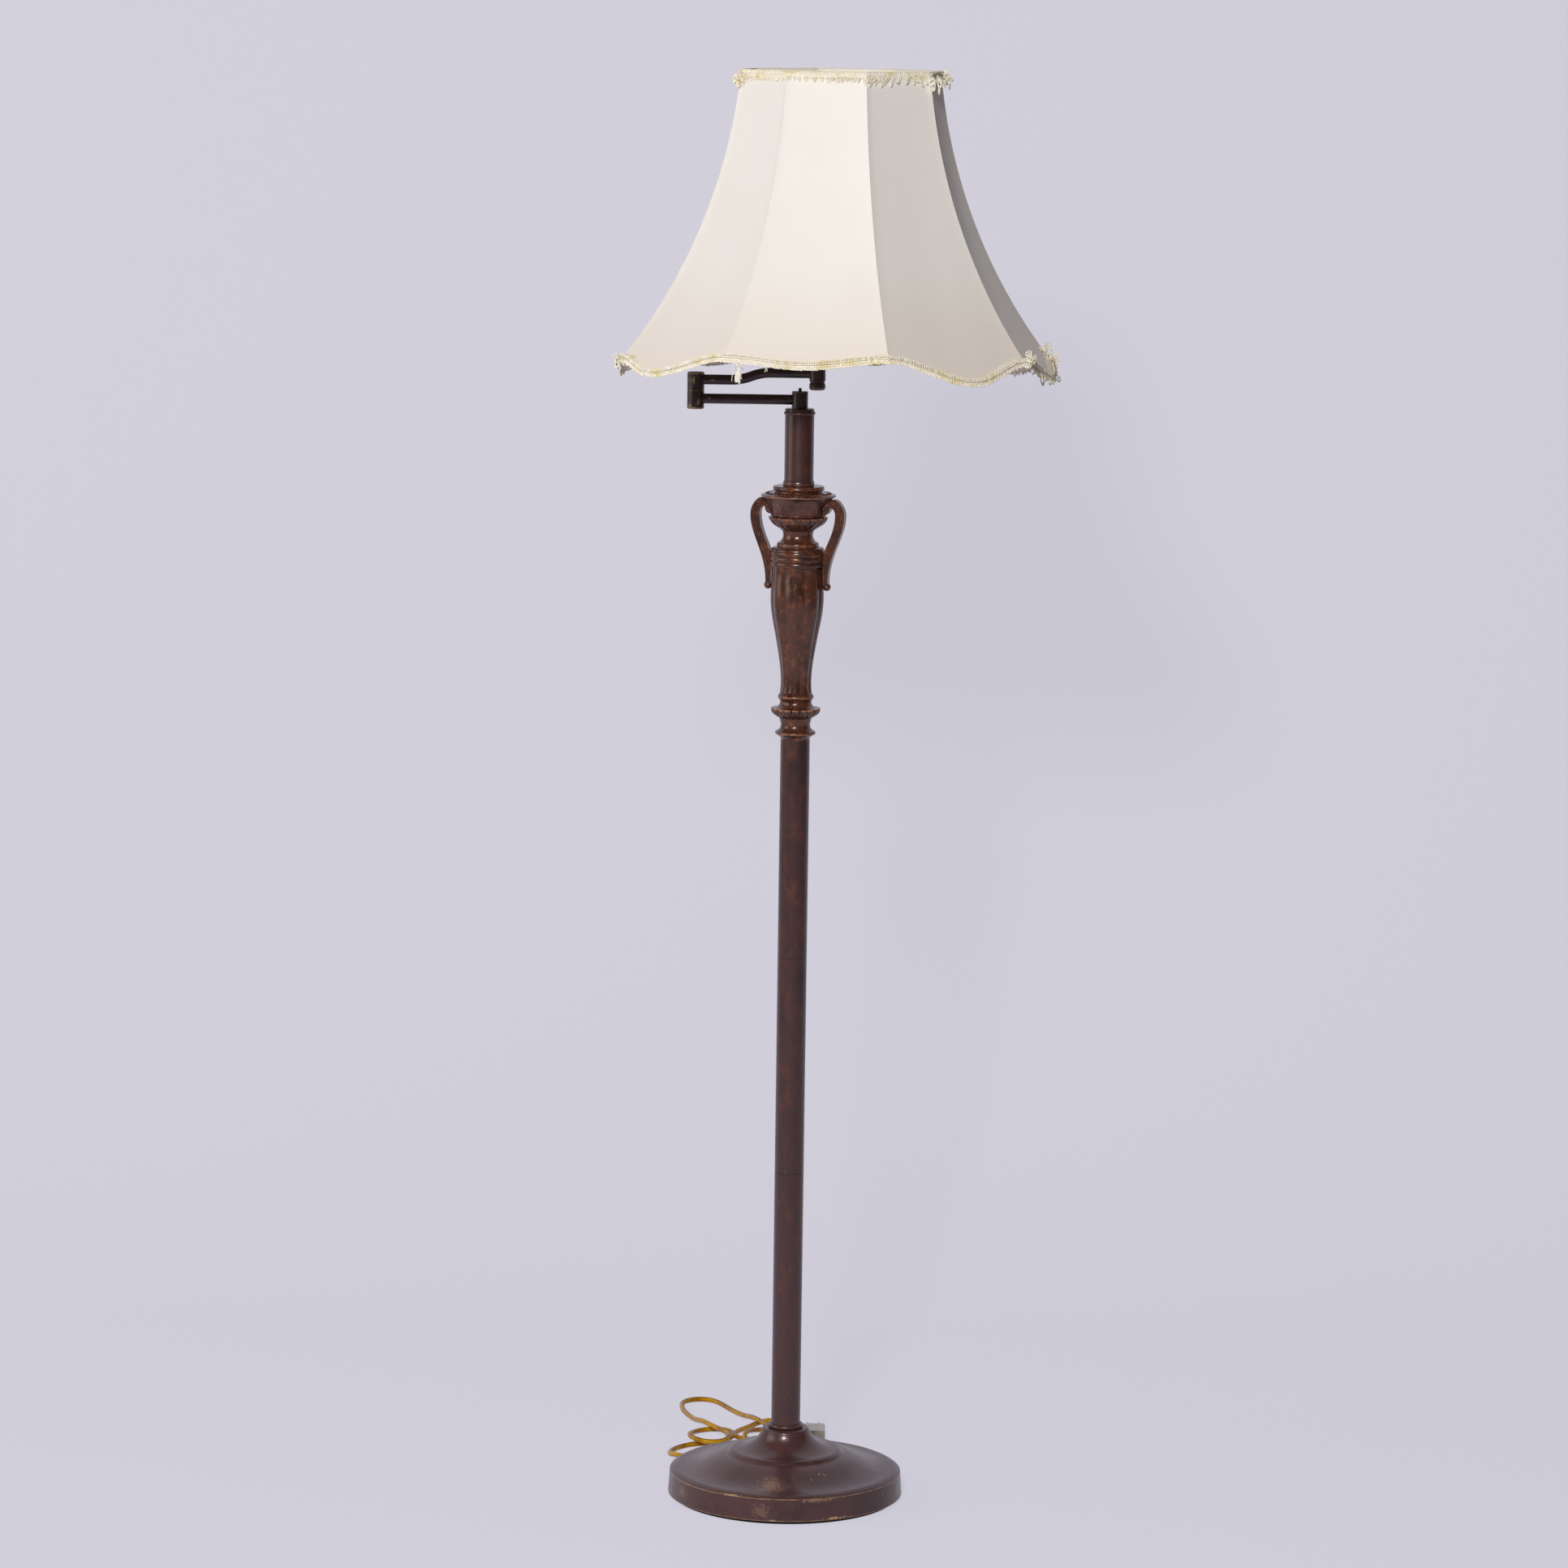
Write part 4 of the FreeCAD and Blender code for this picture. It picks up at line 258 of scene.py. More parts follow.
# ---------------------------------------------------------------- shader wiring
class Wiring:
    """Nodes and links of one shader tree."""

    def __init__(self, tree: bpy.types.NodeTree) -> None:
        """Take hold of a tree.

        Args:
            tree: The tree that gets the nodes.
        """
        self.tree = tree

    def add(self, kind: str, **settings: object) -> bpy.types.Node:
        """Add a node.

        Args:
            kind: The node's type name.
            **settings: Values for the node's own fields.

        Returns:
            The node.
        """
        node = self.tree.nodes.new(kind)
        for key, value in settings.items():
            setattr(node, key, value)
        return node

    def feed(self, socket: bpy.types.NodeSocket, value: object) -> None:
        """Give an input a link or a plain value.

        Args:
            socket: The input.
            value: An output to link, a number or a colour.
        """
        if isinstance(value, bpy.types.NodeSocket):
            self.tree.links.new(value, socket)
        elif isinstance(value, tuple) and len(value) == 3 and socket.type == "RGBA":
            socket.default_value = (*value, 1.0)
        else:
            socket.default_value = value

    def sum(self, operation: str, first: object, second: object = 0.0) -> bpy.types.NodeSocket:
        """Work out a number from one or two others.

        Args:
            operation: The Math node's operation.
            first: The first value or link.
            second: The second value or link.

        Returns:
            The result.
        """
        node = self.add("ShaderNodeMath", operation=operation)
        self.feed(node.inputs[0], first)
        if operation not in ("SQRT", "ABSOLUTE", "SINE", "FRACT", "FLOOR"):
            self.feed(node.inputs[1], second)
        return node.outputs[0]

    def mix(self, share: object, first: object, second: object) -> bpy.types.NodeSocket:
        """Mix two colours.

        Args:
            share: How much of the second colour shows.
            first: The first colour.
            second: The second colour.

        Returns:
            The mixed colour.
        """
        node = self.add("ShaderNodeMix", data_type="RGBA")
        self.feed(node.inputs[0], share)
        self.feed(node.inputs[6], first)
        self.feed(node.inputs[7], second)
        return node.outputs[2]

    def window(self, value: object, low: float, high: float) -> bpy.types.NodeSocket:
        """Stretch a range of values to 0 to 1 with soft ends.

        Args:
            value: The value or link.
            low: Where the result is 0.
            high: Where the result is 1.

        Returns:
            The result, clamped.
        """
        node = self.add("ShaderNodeMapRange", interpolation_type="SMOOTHSTEP")
        self.feed(node.inputs["Value"], value)
        self.feed(node.inputs["From Min"], low)
        self.feed(node.inputs["From Max"], high)
        return node.outputs["Result"]

    def noise(self, vector: object, scale: object, detail: float = 3.0, rough: float = 0.55) -> bpy.types.NodeSocket:
        """Sample noise.

        Args:
            vector: The coordinates.
            scale: The noise's scale.
            detail: How many finer layers it has.
            rough: How strong the finer layers are.

        Returns:
            The noise's value.
        """
        node = self.add("ShaderNodeTexNoise")
        self.feed(node.inputs["Vector"], vector)
        self.feed(node.inputs["Scale"], scale)
        node.inputs["Detail"].default_value = detail
        node.inputs["Roughness"].default_value = rough
        return node.outputs["Fac"]

    def stretch(self, vector: object, scale: tuple[float, float, float]) -> bpy.types.NodeSocket:
        """Scale coordinates along the three axes.

        Args:
            vector: The coordinates.
            scale: The factor along each axis.

        Returns:
            The scaled coordinates.
        """
        node = self.add("ShaderNodeMapping")
        self.feed(node.inputs["Vector"], vector)
        node.inputs["Scale"].default_value = scale
        return node.outputs["Vector"]


def new_group(name: str, inputs: dict[str, tuple[str, object]], outputs: dict[str, str]) -> tuple[Wiring, dict, dict]:
    """Make a shader node group with named sockets.

    Args:
        name: The group's name.
        inputs: For each input its socket type and its default.
        outputs: For each output its socket type.

    Returns:
        The group's wiring, its inputs by name and the sockets of its output node by name.
    """
    tree = bpy.data.node_groups.new(name, "ShaderNodeTree")
    for label, (kind, value) in inputs.items():
        socket = tree.interface.new_socket(label, in_out="INPUT", socket_type=kind)
        if value is not None:
            socket.default_value = value
    for label, kind in outputs.items():
        tree.interface.new_socket(label, in_out="OUTPUT", socket_type=kind)
    source = tree.nodes.new("NodeGroupInput")
    sink = tree.nodes.new("NodeGroupOutput")
    return (Wiring(tree), {label: source.outputs[label] for label in inputs},
            {label: sink.inputs[label] for label in outputs})


FLOAT, VECTOR, COLOUR = "NodeSocketFloat", "NodeSocketVector", "NodeSocketColor"


@dataclass
class Effects:
    """The shader effects that several finishes share, each built once."""

    groups: dict[str, bpy.types.NodeTree] = field(default_factory=dict)

    def build(self) -> None:
        """Build every shared effect."""
        self.mottle()
        self.worn_ring()
        self.worn_patch()
        self.scuffs()
        self.weave()

    def mottle(self) -> None:
        """Cloudy patina: a ground colour with darker clouds and warm glowing patches."""
        inputs = {"Vector": (VECTOR, None), "Scale": (FLOAT, 20.0), "Ground": (COLOUR, None), "Deep": (COLOUR, None),
                  "Glow": (COLOUR, None), "Amount": (FLOAT, 0.5)}
        wiring, given, result = new_group("mottled patina", inputs, {"Color": COLOUR, "Mask": FLOAT})
        clouds = wiring.noise(given["Vector"], given["Scale"], 5.0, 0.62)
        dark = wiring.window(clouds, 0.42, 0.66)
        finer = wiring.noise(given["Vector"], wiring.sum("MULTIPLY", given["Scale"], 2.7), 6.0, 0.7)
        warm = wiring.sum("MULTIPLY", wiring.window(finer, 0.50, 0.72), given["Amount"])
        cool = wiring.mix(dark, given["Ground"], given["Deep"])
        wiring.feed(result["Color"], wiring.mix(warm, cool, given["Glow"]))
        wiring.feed(result["Mask"], warm)
        self.groups["mottle"] = wiring.tree

    def worn_ring(self) -> None:
        """Wear along a round edge about an upright axis, broken up by noise."""
        inputs = {"Vector": (VECTOR, None), "Centre": (FLOAT, 0.0), "Radius": (FLOAT, 0.1), "Height": (FLOAT, 0.0),
                  "Width": (FLOAT, 0.002), "Grain": (FLOAT, 90.0), "Amount": (FLOAT, 1.0)}
        wiring, given, result = new_group("worn round edge", inputs, {"Mask": FLOAT})
        split = wiring.add("ShaderNodeSeparateXYZ")
        wiring.feed(split.inputs[0], given["Vector"])
        aside = wiring.sum("SUBTRACT", split.outputs[0], given["Centre"])
        across = wiring.sum("ADD", wiring.sum("MULTIPLY", aside, aside),
                            wiring.sum("MULTIPLY", split.outputs[1], split.outputs[1]))
        out = wiring.sum("SUBTRACT", wiring.sum("SQRT", across), given["Radius"])
        up = wiring.sum("SUBTRACT", split.outputs[2], given["Height"])
        away = wiring.sum("SQRT", wiring.sum("ADD", wiring.sum("MULTIPLY", out, out), wiring.sum("MULTIPLY", up, up)))
        near = wiring.sum("SUBTRACT", 1.0, wiring.sum("DIVIDE", away, given["Width"]))
        rough = wiring.noise(given["Vector"], given["Grain"], 5.0, 0.7)
        worn = wiring.window(wiring.sum("ADD", near, wiring.sum("MULTIPLY", wiring.sum("SUBTRACT", rough, 0.56), 3.2)),
                             0.0, 0.55)
        close = wiring.window(near, 0.0, 0.3)
        wiring.feed(result["Mask"], wiring.sum("MULTIPLY", wiring.sum("MULTIPLY", worn, close), given["Amount"]))
        self.groups["worn_ring"] = wiring.tree

    def worn_patch(self) -> None:
        """A ragged rubbed spot of a given place and size."""
        inputs = {"Vector": (VECTOR, None), "Place": (VECTOR, None), "Reach": (VECTOR, None), "Grain": (FLOAT, 90.0),
                  "Amount": (FLOAT, 1.0)}
        wiring, given, result = new_group("ragged rubbed spot", inputs, {"Mask": FLOAT})
        apart = wiring.add("ShaderNodeVectorMath", operation="SUBTRACT")
        wiring.feed(apart.inputs[0], given["Vector"])
        wiring.feed(apart.inputs[1], given["Place"])
        share = wiring.add("ShaderNodeVectorMath", operation="DIVIDE")
        wiring.feed(share.inputs[0], apart.outputs["Vector"])
        wiring.feed(share.inputs[1], given["Reach"])
        away = wiring.add("ShaderNodeVectorMath", operation="LENGTH")
        wiring.feed(away.inputs[0], share.outputs["Vector"])
        near = wiring.sum("SUBTRACT", 1.0, away.outputs["Value"])
        rough = wiring.noise(given["Vector"], given["Grain"], 5.0, 0.7)
        ragged = wiring.sum("ADD", near, wiring.sum("MULTIPLY", wiring.sum("SUBTRACT", rough, 0.62), 3.0))
        inside = wiring.window(near, 0.0, 0.25)
        wiring.feed(result["Mask"], wiring.sum("MULTIPLY", wiring.sum("MULTIPLY", wiring.window(ragged, 0.0, 0.5), inside),
                                               given["Amount"]))
        self.groups["worn_patch"] = wiring.tree

    def scuffs(self) -> None:
        """Sparse small chips and upright scratches."""
        inputs = {"Vector": (VECTOR, None), "Scale": (FLOAT, 60.0), "Amount": (FLOAT, 0.5)}
        wiring, given, result = new_group("sparse scuffs", inputs, {"Mask": FLOAT})
        long_way = wiring.stretch(given["Vector"], (1.0, 1.0, 0.28))
        where = wiring.window(wiring.noise(given["Vector"], wiring.sum("MULTIPLY", given["Scale"], 0.16), 2.0, 0.5), 0.52, 0.66)
        marks = wiring.window(wiring.noise(long_way, wiring.sum("MULTIPLY", given["Scale"], 4.0), 4.0, 0.6), 0.66, 0.70)
        wiring.feed(result["Mask"], wiring.sum("MULTIPLY", wiring.sum("MULTIPLY", where, marks), given["Amount"]))
        self.groups["scuffs"] = wiring.tree

    def weave(self) -> None:
        """Plain weave from the piece's own cloth coordinates, in metres."""
        inputs = {"Vector": (VECTOR, None), "Threads": (FLOAT, 1400.0)}
        wiring, given, result = new_group("plain weave", inputs, {"Height": FLOAT, "Slub": FLOAT})
        split = wiring.add("ShaderNodeSeparateXYZ")
        wiring.feed(split.inputs[0], given["Vector"])
        turns = wiring.sum("MULTIPLY", given["Threads"], math.pi)
        warp = wiring.sum("SINE", wiring.sum("MULTIPLY", split.outputs[0], turns))
        weft = wiring.sum("SINE", wiring.sum("MULTIPLY", split.outputs[1], turns))
        over = wiring.sum("MULTIPLY", warp, weft)
        wiring.feed(result["Height"], wiring.sum("ADD", wiring.sum("MULTIPLY", over, 0.35), 0.5))
        slub = wiring.noise(wiring.stretch(given["Vector"], (60.0, 900.0, 1.0)), 1.0, 2.0, 0.5)
        wiring.feed(result["Slub"], slub)
        self.groups["weave"] = wiring.tree

    def place(self, wiring: Wiring, effect: str, **values: object) -> bpy.types.Node:
        """Place a shared effect in a material.

        Args:
            wiring: The material's wiring.
            effect: The effect's name.
            **values: Values or links for its inputs.

        Returns:
            The group node.
        """
        node = wiring.add("ShaderNodeGroup", node_tree=self.groups[effect])
        for label, value in values.items():
            wiring.feed(node.inputs[label], value)
        return node


EFFECTS = Effects()


def new_material(name: str, **surface: object) -> tuple[bpy.types.Material, Wiring, bpy.types.Node, bpy.types.NodeSocket]:
    """Start a material with a Principled surface.

    Args:
        name: The material's name.
        **surface: Plain values for the surface's own inputs, with blanks in names as underscores.

    Returns:
        The material, its wiring, its surface node and its object coordinates.
    """
    material = bpy.data.materials.new(name)
    material.use_nodes = True
    wiring = Wiring(material.node_tree)
    shader = material.node_tree.nodes["Principled BSDF"]
    for label, value in surface.items():
        wiring.feed(shader.inputs[label.replace("_", " ")], value)
    coordinates = wiring.add("ShaderNodeTexCoord").outputs["Object"]
    return material, wiring, shader, coordinates


def add_bump(wiring: Wiring, shader: bpy.types.Node, height: object, depth: float, strength: float = 1.0) -> None:
    """Drive the surface's bumps from a height.

    Args:
        wiring: The material's wiring.
        shader: The surface node.
        height: The height, from 0 to 1.
        depth: What a height of 1 means in metres.
        strength: How strongly the bump shows.
    """
    bump = wiring.add("ShaderNodeBump")
    bump.inputs["Distance"].default_value = depth
    bump.inputs["Strength"].default_value = strength
    wiring.feed(bump.inputs["Height"], height)
    wiring.feed(shader.inputs["Normal"], bump.outputs[0])


# ---------------------------------------------------------------- finishes
@dataclass(frozen=True)
class WornEdge:
    """A round edge that shows the metal under the paint."""

    radius: float
    height: float
    width: float
    amount: float = 1.0
    centre: float = 0.0


@dataclass(frozen=True)
class WornPatch:
    """A spot where the paint is rubbed through or dusty."""

    place: tuple[float, float, float]
    reach: tuple[float, float, float]
    amount: float = 1.0


@dataclass(frozen=True)
class AgedPaint:
    """Dark paint over metal, clouded by age, chipped, and worn on its edges."""

    name: str
    ground: Colour
    deep: Colour
    glow: Colour
    bare: Colour
    scale: float
    glow_amount: float
    roughness: float
    scuffing: float
    tall: float = 1.0
    edges: tuple[WornEdge, ...] = ()
    patches: tuple[WornPatch, ...] = ()
    floor_reflection_tint: Colour | None = None
    seams: tuple[float, ...] = ()
    grain: float = 90.0

    def build(self) -> bpy.types.Material:
        """Build the material.

        Returns:
            The material.
        """
        material, wiring, shader, place = new_material(self.name, Metallic=0.10, Specular_IOR_Level=0.42, Coat_Weight=0.20,
                                                       Coat_Roughness=0.16)
        drawn = wiring.stretch(place, (1.0, 1.0, self.tall))
        patina = EFFECTS.place(wiring, "mottle", Vector=drawn, Scale=self.scale, Ground=self.ground, Deep=self.deep,
                               Glow=self.glow, Amount=self.glow_amount)
        colour = patina.outputs["Color"]
        split = wiring.add("ShaderNodeSeparateXYZ")
        wiring.feed(split.inputs[0], place)
        # Lighter, purplish colour towards the pole's foot: a painted reflection of the pale floor.
        if self.floor_reflection_tint:
            low = wiring.window(split.outputs[2], 0.72, 0.10)
            colour = wiring.mix(low, colour, wiring.mix(patina.outputs["Mask"], self.floor_reflection_tint, self.glow))
        for level in self.seams:
            near = wiring.sum("ABSOLUTE", wiring.sum("SUBTRACT", split.outputs[2], level))
            line = wiring.window(near, 0.0009, 0.0003)
            colour = wiring.mix(wiring.sum("MULTIPLY", line, 0.65), colour, (0.004, 0.003, 0.003))
        worn: bpy.types.NodeSocket | None = None
        for edge in self.edges:
            ring = EFFECTS.place(wiring, "worn_ring", Vector=place, Centre=edge.centre, Radius=edge.radius,
                                 Height=edge.height, Width=edge.width, Grain=self.grain, Amount=edge.amount)
            mask = ring.outputs["Mask"]
            worn = mask if worn is None else wiring.sum("MAXIMUM", worn, mask)
        for patch in self.patches:
            spot = EFFECTS.place(wiring, "worn_patch", Vector=place, Place=patch.place, Reach=patch.reach,
                                 Grain=self.grain * 3.6, Amount=patch.amount)
            mask = spot.outputs["Mask"]
            worn = mask if worn is None else wiring.sum("MAXIMUM", worn, mask)
        chips = EFFECTS.place(wiring, "scuffs", Vector=place, Scale=60.0, Amount=self.scuffing).outputs["Mask"]
        worn = chips if worn is None else wiring.sum("MAXIMUM", worn, chips)
        colour = wiring.mix(worn, colour, self.bare)
        wiring.feed(shader.inputs["Base Color"], colour)
        gloss = wiring.noise(place, self.scale * 3.1, 4.0, 0.6)
        rough = wiring.sum("ADD", wiring.sum("MULTIPLY", gloss, 0.16), self.roughness - 0.08)
        wiring.feed(shader.inputs["Roughness"], wiring.sum("ADD", rough, wiring.sum("MULTIPLY", worn, 0.10)))
        fine = wiring.noise(place, 900.0, 2.0, 0.5)
        level = wiring.sum("SUBTRACT", wiring.sum("ADD", wiring.sum("MULTIPLY", gloss, 0.6), wiring.sum("MULTIPLY", fine, 0.35)),
                           wiring.sum("MULTIPLY", worn, 0.5))
        add_bump(wiring, shader, level, 0.00035, 0.5)
        return material


@dataclass(frozen=True)
class PlainMetal:
    """Bare or plated metal with fine turning marks and dull patches."""

    name: str
    ground: Colour
    dull: Colour
    metallic: float
    roughness: float
    grain: float = 400.0

    def build(self) -> bpy.types.Material:
        """Build the material.

        Returns:
            The material.
        """
        material, wiring, shader, place = new_material(self.name)
        clouds = wiring.noise(place, 45.0, 5.0, 0.6)
        wiring.feed(shader.inputs["Base Color"], wiring.mix(wiring.window(clouds, 0.4, 0.7), self.ground, self.dull))
        wiring.feed(shader.inputs["Metallic"], self.metallic)
        wiring.feed(shader.inputs["Roughness"], wiring.sum("ADD", wiring.sum("MULTIPLY", clouds, 0.25), self.roughness - 0.1))
        marks = wiring.noise(wiring.stretch(place, (1.0, 1.0, 8.0)), self.grain, 2.0, 0.5)
        add_bump(wiring, shader, marks, 0.0001, 0.35)
        return material


@dataclass(frozen=True)
class Moulding:
    """Moulded plastic, card, iron or felt: a ground with soft variation and a fine surface."""

    name: str
    ground: Colour
    shade: Colour
    roughness: float
    grain: float
    depth: float
    coat: float = 0.0
    sheen: float = 0.0
    clear: float = 0.0

    def build(self) -> bpy.types.Material:
        """Build the material.

        Returns:
            The material.
        """
        material, wiring, shader, place = new_material(self.name, Coat_Weight=self.coat, Sheen_Weight=self.sheen,
                                                       Transmission_Weight=self.clear, IOR=1.5)
        clouds = wiring.noise(place, self.grain * 0.12, 4.0, 0.6)
        wiring.feed(shader.inputs["Base Color"], wiring.mix(clouds, self.ground, self.shade))
        fine = wiring.noise(place, self.grain, 3.0, 0.6)
        wiring.feed(shader.inputs["Roughness"], wiring.sum("ADD", wiring.sum("MULTIPLY", fine, 0.2), self.roughness - 0.1))
        add_bump(wiring, shader, fine, self.depth, 0.7)
        return material


@dataclass(frozen=True)
class CordPlastic:
    """Semi-clear gold cord jacket, with painted shade as a darker line in the groove between its two wires."""

    name: str = "gold cord jacket"
    gold: Colour = linear(206, 150, 10)
    brown: Colour = linear(164, 104, 2)
    groove_painted_shade: Colour = linear(84, 48, 2)

    def build(self) -> bpy.types.Material:
        """Build the material.

        Returns:
            The material.
        """
        material, wiring, shader, place = new_material(self.name, Roughness=0.30, Coat_Weight=0.15, Coat_Roughness=0.1,
                                                       Specular_IOR_Level=0.35, Specular_Tint=linear(255, 214, 96))
        clouds = wiring.noise(place, 55.0, 4.0, 0.6)
        glint = wiring.noise(place, 420.0, 2.0, 0.5)
        colour = wiring.mix(wiring.window(clouds, 0.38, 0.68), self.gold, self.brown)
        colour = wiring.mix(wiring.window(glint, 0.58, 0.72), colour, linear(226, 190, 76))
        # A dark line along each flat face: painted shade of the groove between the two wires, which the round tube
        # doesn't have.
        round_it = wiring.add("ShaderNodeSeparateXYZ")
        wiring.feed(round_it.inputs[0], wiring.add("ShaderNodeUVMap").outputs["UV"])
        halfway = wiring.sum("FRACT", wiring.sum("MULTIPLY", round_it.outputs[1], 2.0))
        across = wiring.sum("ABSOLUTE", wiring.sum("SUBTRACT", halfway, 0.5))
        wiring.feed(shader.inputs["Base Color"], wiring.mix(wiring.window(across, 0.10, 0.04), colour, self.groove_painted_shade))
        add_bump(wiring, shader, glint, 0.0002, 0.3)
        return material


@dataclass(frozen=True)
class Cloth:
    """Woven cloth on the piece's own cloth coordinates."""

    name: str
    ground: Colour
    warm: Colour
    soiled: Colour
    threads: float
    depth: float
    soil_low: float
    soil_high: float
    sheen: float = 0.25
    stain: float = 0.55
    hem_painted_shade: Colour | None = None

    def build(self) -> bpy.types.Material:
        """Build the material.

        Returns:
            The material.
        """
        material, wiring, shader, place = new_material(self.name, Roughness=0.78, Sheen_Weight=self.sheen,
                                                       Sheen_Roughness=0.5, Specular_IOR_Level=0.25)
        cloth = wiring.add("ShaderNodeUVMap").outputs["UV"]
        threads = EFFECTS.place(wiring, "weave", Vector=cloth, Threads=self.threads)
        clouds = wiring.noise(place, 7.0, 4.0, 0.55)
        colour = wiring.mix(wiring.window(clouds, 0.40, 0.72), self.ground, self.warm)
        split = wiring.add("ShaderNodeSeparateXYZ")
        wiring.feed(split.inputs[0], place)
        spots = wiring.noise(place, 60.0, 5.0, 0.65)
        edge = wiring.sum("MULTIPLY", wiring.window(split.outputs[2], self.soil_high, self.soil_low), wiring.window(spots, 0.45, 0.75))
        colour = wiring.mix(wiring.sum("MULTIPLY", edge, self.stain), colour, self.soiled)
        # Darker, pinker cloth towards the hem: painted shade.
        if self.hem_painted_shade:
            low = wiring.sum("MULTIPLY", wiring.window(split.outputs[2], 1.34, 1.20), 0.6)
            colour = wiring.mix(low, colour, self.hem_painted_shade)
        slub = wiring.sum("MULTIPLY", wiring.window(threads.outputs["Slub"], 0.35, 0.75), 0.05)
        wiring.feed(shader.inputs["Base Color"], wiring.mix(slub, colour, self.soiled))
        add_bump(wiring, shader, threads.outputs["Height"], self.depth, 0.6)
        return material


@dataclass(frozen=True)
class FrostedGlass:
    """The bulb's inside-frosted glass."""

    name: str = "frosted bulb glass"

    def build(self) -> bpy.types.Material:
        """Build the material.

        Returns:
            The material.
        """
        material, wiring, shader, place = new_material(self.name, Base_Color=linear(240, 238, 232), Transmission_Weight=0.35,
                                                       IOR=1.45)
        dust = wiring.noise(place, 80.0, 4.0, 0.6)
        wiring.feed(shader.inputs["Roughness"], wiring.sum("ADD", wiring.sum("MULTIPLY", dust, 0.2), 0.35))
        add_bump(wiring, shader, dust, 0.0001, 0.2)
        return material


